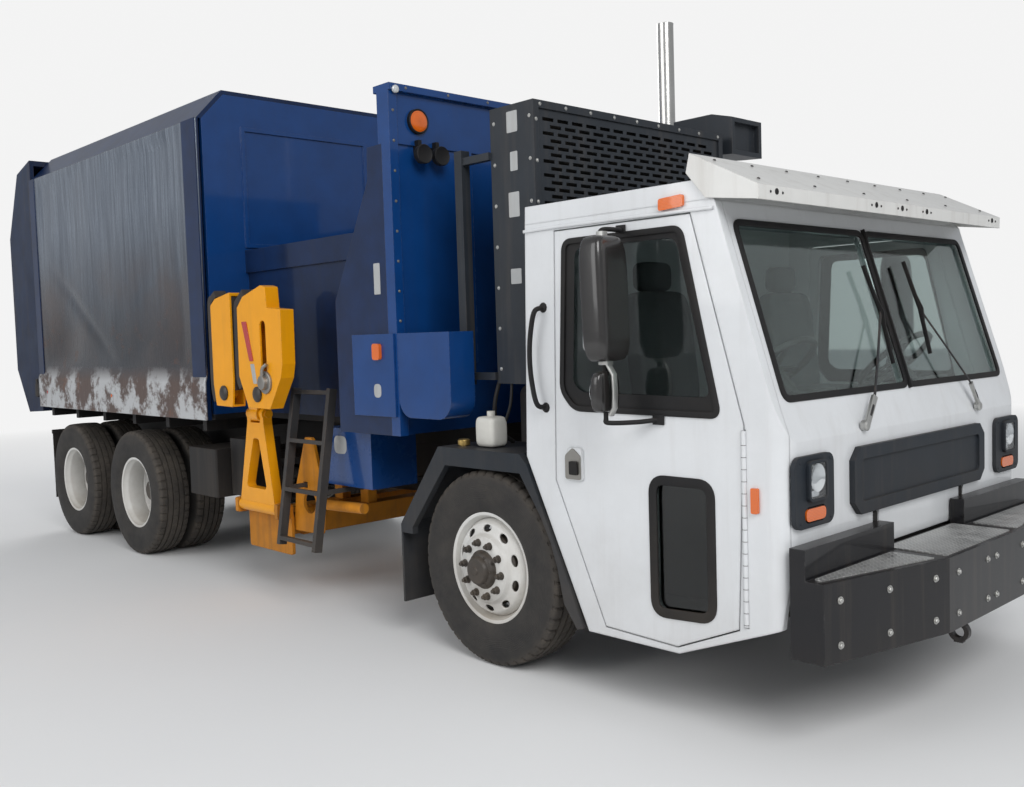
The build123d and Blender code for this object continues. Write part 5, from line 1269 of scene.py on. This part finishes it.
    def seat(self, side: str, way: float) -> None:
        """A padded seat: cushion and back with sewn channels, head rest, and the box under them."""
        y = way * self.seat_y
        inner = 0.06 * -way
        cushion = pillow((0.985, y, 1.350), (0.46, 0.47, 0.115), 0.30, 41, 72)
        offset_y = cushion.points[:, 1] - y
        top = cushion.points[:, 2] > 1.350
        seam = np.exp(-(((np.abs(offset_y) - 0.13) / 0.010) ** 2)) * 0.008
        crown = 0.012 * np.cos(np.clip(offset_y / 0.235, -1, 1) * np.pi / 2)
        cushion.points[:, 2] += np.where(top, crown - seam, 0.0)
        back = pillow(ORIGIN, (0.115, 0.46, 0.62), 0.32, 49, 72)
        spread = back.points[:, 1]
        front = back.points[:, 0] > 0
        seam = np.exp(-(((np.abs(spread) - 0.12) / 0.010) ** 2)) * 0.008
        rows = np.exp(-((((back.points[:, 2] + 0.31) % 0.16 - 0.08) / 0.008) ** 2)) * 0.005
        back.points[:, 0] += np.where(front, -seam - np.where(np.abs(spread) < 0.12, rows, 0.0), 0.0)
        back = back.turned("Y", -7.0).moved((0.752, y, 1.650))
        rest = pillow((0.700, y, 2.035), (0.080, 0.255, 0.150), 0.45, 25, 48)
        base = box(0.822, 1.118, y + inner - 0.108, y + inner + 0.108, 1.103, 1.300, 0.02)
        for label, shell in (("cushion", cushion), ("back", back), ("rest", rest)):
            replaced = ("seats",) if label == "cushion" and way < 0 else ()
            padded = add_piece(f"seat_{label}_{side}", shell, SEAT_FABRIC, "cab", replaced, 60)
        add_piece(f"seat_base_{side}", base, DASH_GREY, "cab")

    def build(self) -> None:
        """The whole cab's dressing."""
        self.screen_seals()
        self.wipers()
        self.lamps()
        self.visor_trim()
        self.handles()
        self.drip_rails()
        for side, way in SIDES:
            self.door_seals(side, way)
            self.mirrors(side, way)
            self.seat(side, way)


# Front end


@dataclass
class FrontEnd:
    """Tread plates and face bolts of the bumper, what stands by the right mudguard, and the fuel tank's straps."""

    front_x: float = 2.15
    bend_y: float = 0.45
    corner_x: float = 1.98
    half: float = 1.19
    top: float = 0.755

    def tread_plates(self) -> None:
        """Raised plates on the bumper's deck."""
        front, corner, back = self.front_x - 0.025, self.corner_x - 0.03, 1.915
        outlines = (
            [(back, -1.15), (corner, -1.15), (front - 0.015, -0.50), (back, -0.50)],
            [(1.850, -0.42), (front, -0.42), (front, 0.28), (1.850, 0.28)],
            [(back, 0.36), (front, 0.36), (front - 0.005, self.bend_y), (corner, 1.15), (back, 1.15)],
        )
        plates = (slab(rounded(outline, 0.01, 3), self.top, self.top + 0.005, "Z") for outline in outlines)
        add_piece("bumper_treads", join(*plates), TreadPlate(), "chassis")

    def face_bolts(self) -> None:
        """Bolts in the bumper's face and corners."""
        rows = (0.50, 0.68)
        spots = [(self.front_x, y, z) for z in rows for y in (-0.36, -0.05, 0.05, 0.36)]
        normals = [(1, 0, 0)] * len(spots)
        run = np.array([self.corner_x - self.front_x, self.half - self.bend_y])
        normal = np.array([run[1], -run[0]]) / np.linalg.norm(run)
        for way in WAYS:
            for share in (0.12, 0.5, 0.88):
                x, y = self.front_x + run[0] * share, way * (self.bend_y + run[1] * share)
                spots += [(x, y, z) for z in rows]
                normals += [(normal[0], way * normal[1], 0)] * len(rows)
        add_piece("bumper_bolts", stamp(bolt(0.011, 0.010), spots, normals), ZINC, "chassis")

    def reservoir(self) -> None:
        """White reservoir with its brass cap on the right mudguard's rear end."""
        tank = pillow((-0.060, -1.060, 1.245), (0.15, 0.12, 0.165), 0.35, 25, 40)
        neck = lathe([(0.0, 0.022), (0.035, 0.022), (0.035, 0.0)], (-0.060, -1.060, 1.320), "Z", 20)
        add_piece("reservoir", join(tank, neck), RESERVOIR, "chassis")
        filler = (-0.245, -1.100, 1.166)
        cap = lathe([(0.0, 0.034), (0.026, 0.034), (0.032, 0.028), (0.032, 0.0)], filler, "Z", 20)
        stem = lathe([(-0.010, 0.024), (0.004, 0.024), (0.004, 0.0)], filler, "Z", 20)
        add_piece("filler_cap", join(cap, stem), BRASS, "chassis")

    def tank_straps(self) -> None:
        """Two bright straps round the fuel tank over its brackets, and the filler's cap."""
        loop = pane(0.518, 1.102, 0.418, 0.962, 0.112, 10)
        straps = [sweep(laid(loop, x, "X"), bar(0.006, 0.055), (1, 0, 0), closed=True) for x in (-1.76, -1.12)]
        cap = lathe([(0.0, 0.056), (0.020, 0.056), (0.028, 0.048), (0.028, 0.0)], (-1.30, 0.94, 0.999), "Z", 32)
        add_piece("tank_straps", join(*straps, cap), ZINC, "chassis")

    def build(self) -> None:
        """The whole front end's dressing."""
        self.tank_straps()
        self.tread_plates()
        self.face_bolts()
        self.reservoir()


# Cooling stack and exhaust


@dataclass
class CoolingStack:
    """Bare label plates, core, rim bolts and hoses of the stack behind the cab, and the round exhaust."""

    x1: float = 0.270
    y0: float = -1.000
    y1: float = 0.660
    z0: float = 1.500
    z1: float = 2.965
    exhaust_at: tuple[float, float] = (-0.485, 1.085)

    def plates(self) -> None:
        """Bare plates on the side, where labels would be."""
        made = [
            slab(pane(*limits, 0.006, 3), self.y0 - 0.0015, self.y0)
            for limits in ((0.07, 0.15, 2.82, 2.93), (0.09, 0.145, 2.62, 2.72), (0.07, 0.15, 2.38, 2.51),
                           (0.07, 0.15, 2.03, 2.11))
        ]
        add_piece("stack_plates", join(*made), PLATE_PALE, "chassis")

    def core(self) -> None:
        """Dark cooling core behind the grille."""
        rim = 0.045
        core = box(self.x1 - 0.058, self.x1 - 0.040, self.y0 + rim, self.y1 - rim, self.z0 + rim, self.z1 - rim)
        add_piece("stack_core", core, CORE_BLACK, "chassis")

    def rim_bolts(self) -> None:
        """Bolts round the grille's rim and down the side."""
        face = [(self.x1, y, self.z1 - 0.02) for y in np.linspace(self.y0 + 0.05, self.y1 - 0.05, 9)]
        face += [(self.x1, self.y0 + 0.02, z) for z in np.linspace(self.z0 + 0.1, self.z1 - 0.1, 7)]
        side = [(x, self.y0, z) for x in (-0.03, 0.24) for z in np.linspace(self.z0 + 0.08, self.z1 - 0.08, 7)]
        head = bolt(0.007, 0.006)
        shell = join(stamp(head, face, (1, 0, 0)), stamp(head, side, (0, -1, 0)))
        add_piece("stack_bolts", shell, ZINC, "chassis")

    def exhaust(self) -> None:
        """Bright stack over its banded silencer, on a bracket."""
        x, y = self.exhaust_at
        pipe = lathe([(2.30, 0.0), (2.30, 0.057), (3.885, 0.057), (3.899, 0.0585), (3.8995, 0.0545), (3.60, 0.053),
                      (3.60, 0.0)], (x, y, 0), "Z", 48)
        can = lathe([(1.25, 0.0), (1.25, 0.110), (1.262, 0.115), (2.28, 0.115), (2.30, 0.104), (2.30, 0.0)],
                    (x, y, 0), "Z", 64)
        band = [(0.0, 0.1152), (0.0, 0.119), (0.035, 0.119), (0.035, 0.1152)]
        bands = join(*(lathe(band, (x, y, z), "Z", 64) for z in (1.33, 1.76, 2.19)))
        foot = box(x - 0.06, x + 0.06, 0.430, y + 0.06, 1.21, 1.25)
        leg = box(x - 0.06, x + 0.06, 0.355, 0.430, 1.04, 1.25)
        add_piece("stack_pipe", join(pipe, can, bands), CHROME, "chassis", ("exhaust_stack",))
        add_piece("stack_bracket", join(foot, leg), FRAME_BLACK, "chassis")

    def hoses(self) -> None:
        """Coolant and air hoses between the stack and the engine."""
        wide, thin = (0, 1, 0.2), (1, 0.2, 0)
        runs = (
            (0.035, wide, 14, (-0.06, -0.55, 1.72), (-0.20, -0.56, 1.66), (-0.26, -0.45, 1.52), (-0.22, -0.25, 1.40)),
            (0.035, wide, 14, (-0.06, 0.35, 1.62), (-0.19, 0.34, 1.58), (-0.24, 0.28, 1.48), (-0.20, 0.20, 1.40)),
            (0.012, thin, 10, (-0.05, -0.96, 1.60), (-0.10, -0.99, 1.40), (-0.12, -0.96, 1.25), (-0.10, -0.86, 1.165)),
            (0.009, thin, 10, (0.02, -0.97, 1.52), (0.03, -1.00, 1.38), (-0.02, -1.02, 1.25), (-0.06, -1.03, 1.19)),
        )
        made = join(*(tube(points, radius, up, sides, 30) for radius, up, sides, *points in runs))
        add_piece("stack_hoses", made, HOSE, "chassis")

    def build(self) -> None:
        """The whole stack's dressing."""
        self.plates()
        self.core()
        self.rim_bolts()
        self.exhaust()
        self.hoses()


# Bed


@dataclass
class Bed:
    """What dresses the hopper and the packer body."""

    half: float = 1.22
    front_x: float = -0.70
    body_front: float = -2.98
    body_rear: float = -6.50
    skin_y: float = 1.2185
    ledge_y: float = 1.2375
    low_z: float = 1.200
    high_z: float = 3.410
    post: float = 0.21

    def header(self) -> None:
        """Round amber lamp, corner marker, work lamps and bolts on the header."""
        x = self.front_x
        spot = (x, -1.0, 3.01)
        lamp = lathe([(0.030, 0.062), (0.036, 0.060), (0.042, 0.040), (0.044, 0.0)], spot, "X", 40)
        rim = lathe([(0.014, 0.072), (0.036, 0.071), (0.039, 0.066), (0.034, 0.060), (0.014, 0.060)], spot, "X", 40)
        corner = lathe([(0.0, 0.022), (0.010, 0.022), (0.015, 0.014), (0.016, 0.0)],
                       (x + 0.054, -1.18, 3.165), "X", 28)
        add_piece("header_lamp", lamp, AMBER, "bed")
        add_piece("header_marker", corner, CLEAR, "bed")
        work = []
        for y in (-1.01, -0.88):
            work.append(lathe([(0.014, 0.0), (0.020, 0.030), (0.034, 0.052), (0.070, 0.056), (0.076, 0.052),
                               (0.072, 0.046), (0.070, 0.0)], (x + 0.02, y, 2.815), "X", 32))
            work.append(box(x, x + 0.05, y - 0.012, y + 0.012, 2.83, 2.90))
        add_piece("header_rims", join(rim, *work), GASKET, "bed")
        spots = [(x + 0.050, y, 3.182) for y in np.linspace(-1.1, 1.1, 8)]
        spots += [(x + 0.040, way * 1.19, z) for way in WAYS for z in np.linspace(1.35, 3.05, 11)]
        add_piece("header_bolts", stamp(bolt(0.006, 0.006), spots, (1, 0, 0)), NUT_STEEL, "bed")

    def sides(self) -> None:
        """Dented side sheets that stand for the plain ones.

        The sheet is a grid along X and up Z; its Y is the flat section with slow waves, a hollow low at the rear
        and a crease, and it never stands out past the flat section.
        """
        z_at = np.concatenate([[self.low_z, 1.204], np.linspace(1.215, 1.470, 8), [1.480, 1.500, 1.520, 1.540],
                               np.linspace(1.56, 3.40, 62), [self.high_z]])
        x_at = np.linspace(self.body_rear, self.body_front, 130)
        x, z = np.meshgrid(x_at, z_at)
        flat = np.interp(z, [self.low_z, 1.48, 1.54, self.high_z], [self.ledge_y] * 2 + [self.skin_y] * 2)
        fade = np.clip((z - 1.56) / 0.12, 0, 1) * np.clip((3.38 - z) / 0.1, 0, 1)
        fade = fade * np.clip((x - self.body_rear - 0.14) / 0.15, 0, 1)
        fade = fade * np.clip((self.body_front - self.post - x) / 0.15, 0, 1)
        waves = 0.004 * np.sin(3.1 * x + 1.3 * z) + 0.003 * np.sin(7.3 * x - 2.2 * z + 1.0)
        waves = waves + 0.003 * np.sin(2.0 * x + 5.5 * z)
        mound = -0.030 * np.exp(-(((x + 5.75) / 0.42) ** 2) - (((z - 1.78) / 0.30) ** 2))
        along = np.exp(-(((x + 5.35) / 0.55) ** 2))
        crease = -0.018 * np.exp(-(((z - 2.42 + 0.62 * (x + 5.9)) / 0.07) ** 2)) * along
        depth = np.minimum(flat, flat + fade * (waves - 0.006 + mound + crease))
        for side, way in SIDES:
            sheet = surface(np.stack([x, way * depth, z], -1))
            replaced = ("body_sides",) if way < 0 else ()
            piece = add_piece(f"body_sheet_{side}", sheet, BodySheet(), "bed", replaced, 40)
            thicken(piece, 0.012, -1.0 if way > 0 else 1.0)
            posts = join(
                box(self.body_rear, self.body_rear + 0.13, way * 1.205, way * 1.2378, self.low_z, self.high_z),
                box(self.body_front - self.post, self.body_front - 0.001, way * 1.205, way * 1.2379, self.low_z,
                    self.high_z),
            )
            add_piece(f"body_posts_{side}", posts, BLUE_WORN, "bed")

    def plates(self) -> None:
        """Bare plates and the small side lamp in front of the hopper."""
        y = -self.half
        pale = join(
            slab(pane(-0.86, -0.80, 2.02, 2.20, 0.005, 3), y - 0.0015, y),
            slab(pane(-0.88, -0.81, 1.42, 1.50, 0.03, 5), y - 0.016, y - 0.0145),
            slab(pane(-1.545, -1.405, 1.035, 1.150, 0.045), -1.0915, -1.0900),
        )
        add_piece("bed_plates", pale, PLATE_PALE, "bed")
        lens = slab(pane(-0.865, -0.795, 1.640, 1.735, 0.02, 5), y - 0.034, y - 0.014)
        add_piece("bed_side_lamp", lens, AMBER, "bed")

    def side_lamps(self) -> None:
        """Small marker lamps on both ledges, amber in the middle and red at the rear."""
        lamp = dome(0.030, 0.014)
        for name, dress, x in (("ledge_lamps_amber", AMBER, -4.72), ("ledge_lamps_red", RED, -6.28)):
            both = (stamp(lamp, [(x, way * 1.2372, 1.345)], (0, way, 0)) for way in WAYS)
            add_piece(name, join(*both), dress, "bed")

    def build(self) -> None:
        """The whole bed's dressing."""
        self.side_lamps()
        self.header()
        self.sides()
        self.plates()


# Tail


@dataclass
class Tail:
    """Lamps, tape, blank plate and latches of the tailgate, and the flaps behind the rear wheels."""

    rear_x: float = -7.20
    half: float = 1.22
    lamp_y: float = 1.06
    lamp_z: tuple[float, ...] = (1.74, 1.90, 2.06)
    tape_z: float = 1.600
    tape_step: float = 0.15
    tape_count: int = 12

    def lamps(self) -> None:
        """Stop, turn and reversing lamps in rubber rings, a high pair and three small ones in the middle."""
        low, middle, high = self.lamp_z
        x = self.rear_x - 0.002
        sides = (-self.lamp_y, self.lamp_y)
        groups = (
            ("tail_lamps_red", RED, [(x, y, z) for y in sides for z in (low, 2.76)]),
            ("tail_lamps_amber", AMBER, [(x, y, middle) for y in sides]),
            ("tail_lamps_clear", CLEAR, [(x, y, high) for y in sides]),
        )
        rim = lathe([(0.0, 0.070), (0.012, 0.070), (0.017, 0.063), (0.012, 0.054), (0.0, 0.054)], ORIGIN, "Z", 32)
        for name, dress, spots in groups:
            add_piece(name, stamp(dome(0.056, 0.020), spots, (-1, 0, 0)), dress, "tailgate")
            add_piece(f"{name}_rims", stamp(rim, spots, (-1, 0, 0)), GASKET, "tailgate")
        small = [(x, y, 2.80) for y in (-0.16, 0.0, 0.16)]
        add_piece("tail_markers", stamp(dome(0.026, 0.014), small, (-1, 0, 0)), RED, "tailgate")

    def tape(self) -> None:
        """Red and pale strips in turn along the rear face, and a blank plate above them."""
        x, z, step = self.rear_x, self.tape_z, self.tape_step
        starts = [-0.90 + count * step for count in range(self.tape_count)]
        strips = [box(x - 0.0015, x, y + 0.002, y + step - 0.002, z, z + 0.05) for y in starts]
        blank_plate = slab(pane(-0.85, -0.54, 1.70, 1.855, 0.012, 4), x - 0.004, x, "X")
        add_piece("tail_tape_red", join(*strips[::2]), RED, "tailgate")
        add_piece("tail_tape_pale", join(*strips[1::2], blank_plate), PLATE_PALE, "tailgate")

    def latches(self) -> None:
        """Clamp pads with their screws at the lower front corners."""
        made = []
        for way in WAYS:
            inner, outer = sorted((way * self.half, way * (self.half + 0.022)))
            y = way * (self.half + 0.020)
            made.append(box(-6.640, -6.525, inner, outer, 1.300, 1.420))
            made.append(tube([(-6.580, y, 1.290), (-6.580, y, 1.470)], 0.014, (1, 0, 0), 14))
        add_piece("tail_latches", join(*made), STEP_GREY, "tailgate")

    def flaps(self) -> None:
        """Rubber flaps behind the rear wheels, on bars from the rails."""
        flaps, bars = [], []
        for way in WAYS:
            y0, y1 = sorted((way * 0.66, way * 1.19))
            flaps.append(box(-6.372, -6.362, y0, y1, 0.300, 0.935))
            y0, y1 = sorted((way * 0.430, way * 1.195))
            bars.append(box(-6.379, -6.355, y0, y1, 0.930, 0.968))
        add_piece("mud_flaps", join(*flaps), GASKET, "chassis")
        add_piece("flap_bars", join(*bars), FRAME_BLACK, "chassis")

    def build(self) -> None:
        """The whole tail's dressing."""
        self.lamps()
        self.tape()
        self.latches()
        self.flaps()


# Arm


@dataclass
class Arm:
    """Belts, a strip of painted shade, hub caps, reflector, fitting and hoses of the grabber arm."""

    finger_y: tuple[float, float] = (-1.345, -1.248)
    pins: dict = field(default_factory=lambda: {"front": (-2.04, 1.42), "rear": (-2.50, 1.42)})

    def finger_trim(self) -> None:
        """Black belt pads, a dark strip of painted shade in the rear finger's channel, hub covers, the red reflector,
        a bare plate and the hose fitting.
        """
        y0, y1 = self.finger_y
        middle, plate_t = (y0 + y1) / 2, 0.0015
        edges = {
            "front": [(-2.272, 1.46), (-2.308, 1.54), (-2.308, 1.80), (-2.302, 2.000), (-2.270, 2.045),
                      (-2.192, 2.100)],
            "rear": [(-2.648, 1.36), (-2.678, 1.48), (-2.678, 1.78), (-2.676, 2.040), (-2.640, 2.078),
                     (-2.583, 2.110)],
        }
        for name, edge in edges.items():
            body = f"finger_{name}"
            path = curve([(x, middle, z) for x, z in edge], 40)
            belt = sweep(path, bar(0.052, y1 - y0 - 0.006, 0.008), (0, 1, 0))
            if name == "rear":
                # Painted shade: a dark strip inside the rear finger's open channel stands for the shadow there, and
                # goes into the rear belt piece.
                inner = curve([(-2.388, middle, z) for z in (1.44, 1.76, 2.08)], 12)
                belt = join(belt, sweep(inner, bar(0.022, y1 - y0 - 0.034, 0.003), (0, 1, 0)))
            add_piece(f"finger_belt_{name}", belt, BELT, body)
            x, z = self.pins[name]
            cap = lathe([(0.0, 0.052), (0.010, 0.052), (0.016, 0.044), (0.022, 0.030), (0.024, 0.0)],
                        (x, y0, z), "Y", 36, -1)
            bolts = stamp(bolt(0.006, 0.006), bolt_circle((x, y0 - 0.012, z), 0.036, 6), (0, -1, 0))
            add_piece(f"finger_cap_{name}", join(cap, bolts), HUB_DARK, body)
        strip = rounded([(-2.212, 1.905), (-2.150, 1.905), (-2.078, 1.640), (-2.128, 1.640)], 0.006, 3)
        lens = slab(strip, y0 - 0.004, y0)
        add_piece("finger_reflector", lens, RED, "finger_front")
        strip = rounded([(-2.122, 1.622), (-2.072, 1.622), (-2.042, 1.490), (-2.090, 1.490)], 0.006, 3)
        plate = slab(strip, y0 - plate_t, y0)
        add_piece("finger_plate", plate, PLATE_PALE, "finger_front")
        knob = join(
            lathe([(0.0, 0.074), (0.012, 0.074), (0.016, 0.066), (0.016, 0.050), (0.040, 0.046), (0.044, 0.036),
                   (0.044, 0.0)], (-1.925, y0, 1.500), "Y", 40, -1),
            tube([(-1.925, y0 - 0.030, 1.530), (-1.915, y0 - 0.030, 1.590), (-1.885, y0 - 0.016, 1.620)], 0.012,
                 (0, 1, 0), 10, 16),
        )
        add_piece("finger_fitting", knob, NUT_STEEL, "finger_front")

    def hoses(self) -> None:
        """Hydraulic hoses along the lift arm."""
        run = np.array([(-2.30, -1.135, 0.72), (-2.31, -1.128, 0.86), (-2.33, -1.132, 1.02), (-2.33, -1.128, 1.17)])
        made = join(*(tube(run + (d, 0, 0), 0.009, (1, 0, 0), 10, 30) for d in (0.0, 0.022, 0.044)))
        add_piece("arm_hoses", made, HOSE, "lift_arm")

    def build(self) -> None:
        """The whole arm's dressing."""
        self.finger_trim()
        self.hoses()


# CAD nodes, camera, light and floor


FINISHED_NODES = (
    (FRAME_BLACK, "frame_rails crossmembers front_axle drive_axles knuckle_right knuckle_left bed_frame"),
    (IRON, "engine"),
    (BUMPER_BLACK, "front_bumper"),
    (SLATE, "mudguards grille_panel"),
    (COOLER_SLATE, "cooling_box cooling_grille air_intake"),
    (CHROME, "exhaust_stack"),
    (TANK_METAL, "fuel_tank"),
    (BOX_BLACK, "tool_boxes cab_floor"),
    (STEP_GREY, "side_ladder"),
    (YELLOW_WORN, "arm_base arm_carriage"),
    (YELLOW, "lift_arm gripper_head finger_front finger_rear"),
    (CAB_WHITE, "cab_roof cab_back cab_front cab_sides door_right door_left"),
    (WINDSCREEN, "windscreen"),
    (DOOR_GLAZING, "door_glass_right door_glass_left"),
    (VISOR_WHITE, "sun_visor"),
    (DASH_GREY, "dashboard"),
    (BLUE_WORN, "body_roof hopper_right"),
    (BLUE, "body_front hopper_front hopper_left valve_cabinet"),
    (HOPPER_INSIDE, "packer"),
    (GATE_BLUE, "tailgate"),
)


def dress_nodes(nodes: dict[str, bpy.types.Object]) -> None:
    """Gives every CAD node its finish; those left out of the table are replaced by pieces and take black."""
    dress_of = {name: dress for dress, names in FINISHED_NODES for name in names.split()}
    for name, node in nodes.items():
        dress = dress_of.get(name, FRAME_BLACK)
        if node.material_slots:
            for slot in node.material_slots:
                slot.material = dress.material()
        else:
            node.data.materials.append(dress.material())


@dataclass
class Studio:
    """The camera at the photograph's place, soft lamps, a pale world and the floor."""

    place: Point = (6.518, -4.717, 1.764)
    yaw: float = 136.71
    pitch: float = -3.335
    roll: float = -1.79
    focal: float = 1013.36
    width: float = 1024.0
    pale: float = 0.90
    fade: tuple[float, float] = (7.5, 17.0)
    sky: tuple[float, float, float, float] = (0.93, 0.96, 1.0, 1)
    sky_power: float = 0.44
    film: float = 36.0
    floor_half: float = 60.0

    def camera(self) -> None:
        """Sets the camera from its yaw, pitch and roll."""
        yaw, pitch, roll = (math.radians(a) for a in (self.yaw, self.pitch, self.roll))
        ahead = Vector((math.cos(yaw) * math.cos(pitch), math.sin(yaw) * math.cos(pitch), math.sin(pitch)))
        right = ahead.cross(Vector((0, 0, 1))).normalized()
        up = right.cross(ahead)
        across = right * math.cos(roll) + up * math.sin(roll)
        rise = -right * math.sin(roll) + up * math.cos(roll)
        data = bpy.data.cameras.new("camera")
        data.sensor_width = self.film
        data.lens = self.film * self.focal / self.width
        data.clip_end = 200.0
        made = add_object("camera", data)
        made.matrix_world = Matrix.Translation(self.place) @ Matrix((across, rise, -ahead)).transposed().to_4x4()
        bpy.context.scene.camera = made

    def lamp(self, name: str, place: Point, target: Point, size: float, power: float) -> None:
        """One soft square lamp that looks at a point."""
        data = bpy.data.lights.new(name, "AREA")
        data.size = size
        data.energy = power
        made = add_object(name, data)
        made.location = place
        made.rotation_euler = (Vector(target) - Vector(place)).to_track_quat("-Z", "Y").to_euler()

    def world(self) -> None:
        """Even light, seen as a pale background by the camera and in glass and gloss."""
        world = bpy.data.worlds.new("studio")
        bpy.context.scene.world = world
        world.use_nodes = True
        world.node_tree.nodes.clear()
        graph = Graph(world.node_tree)
        path = graph.node("ShaderNodeLightPath")
        seen = graph.math("MAXIMUM", path.outputs["Is Camera Ray"], path.outputs["Is Transmission Ray"])
        light, shown = graph.node("ShaderNodeBackground"), graph.node("ShaderNodeBackground")
        graph.feed(light, {"Color": self.sky, "Strength": self.sky_power})
        graph.feed(shown, {"Color": (self.pale, self.pale, self.pale, 1)})
        mixed = graph.blend(seen, light.outputs[0], shown.outputs[0])
        graph.put(graph.node("ShaderNodeOutputWorld").inputs[0], mixed)

    def floor(self) -> None:
        """A wide pale floor that takes the shadow near the truck and turns into the backdrop further out."""
        mesh = bpy.data.meshes.new("floor")
        far = self.floor_half
        mesh.from_pydata([(-far, -far, 0), (far, -far, 0), (far, far, 0), (-far, far, 0)], [], [(0, 1, 2, 3)])
        made, graph, shader = blank("floor_pale")
        place = graph.place()
        cloud = graph.noise(place, 0.8, 5.0, 0.6)
        pale = graph.mix(cloud, (0.80, 0.80, 0.80), (0.83, 0.83, 0.825))
        graph.feed(shader, {"Base Color": pale, "Roughness": 0.85})
        away = graph.node("ShaderNodeVectorMath", operation="LENGTH")
        graph.put(away.inputs[0], place)
        glow = graph.node("ShaderNodeEmission")
        graph.feed(glow, {"Color": (self.pale, self.pale, self.pale, 1)})
        path = graph.node("ShaderNodeLightPath")
        share = graph.times(graph.fit(away.outputs["Value"], *self.fade), path.outputs["Is Camera Ray"])
        output = next(node for node in made.node_tree.nodes if node.type == "OUTPUT_MATERIAL")
        graph.put(output.inputs["Surface"], graph.blend(share, shader.outputs[0], glow.outputs[0]))
        mesh.materials.append(made)
        plane = add_object("floor", mesh)

    def build(self) -> None:
        """The whole studio."""
        scene = bpy.context.scene
        scene.view_settings.view_transform = "Standard"
        self.camera()
        self.world()
        self.floor()
        self.lamp("key", (12.0, -5.5, 8.5), (1.0, 0, 1.6), 6.0, 860)
        self.lamp("fill", (-1.0, -12.0, 6.0), (-1.0, 0, 1.8), 8.0, 520)
        self.lamp("back", (-11.0, 6.0, 8.0), (0, 0, 2.0), 6.0, 520)


def main() -> None:
    """Builds the truck's looks on its frame, sub-assembly by sub-assembly."""
    logging.basicConfig(level=logging.INFO, format="%(name)s %(message)s")
    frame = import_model()
    weather_group()
    grain_group()
    Studio().build()
    dress_nodes(frame["nodes"])
    for part in (Wheels(), Cab(), FrontEnd(), CoolingStack(), Bed(), Tail(), Arm()):
        LOG.info("building %s", type(part).__name__)
        part.build()


if __name__ == "__main__":
    main()
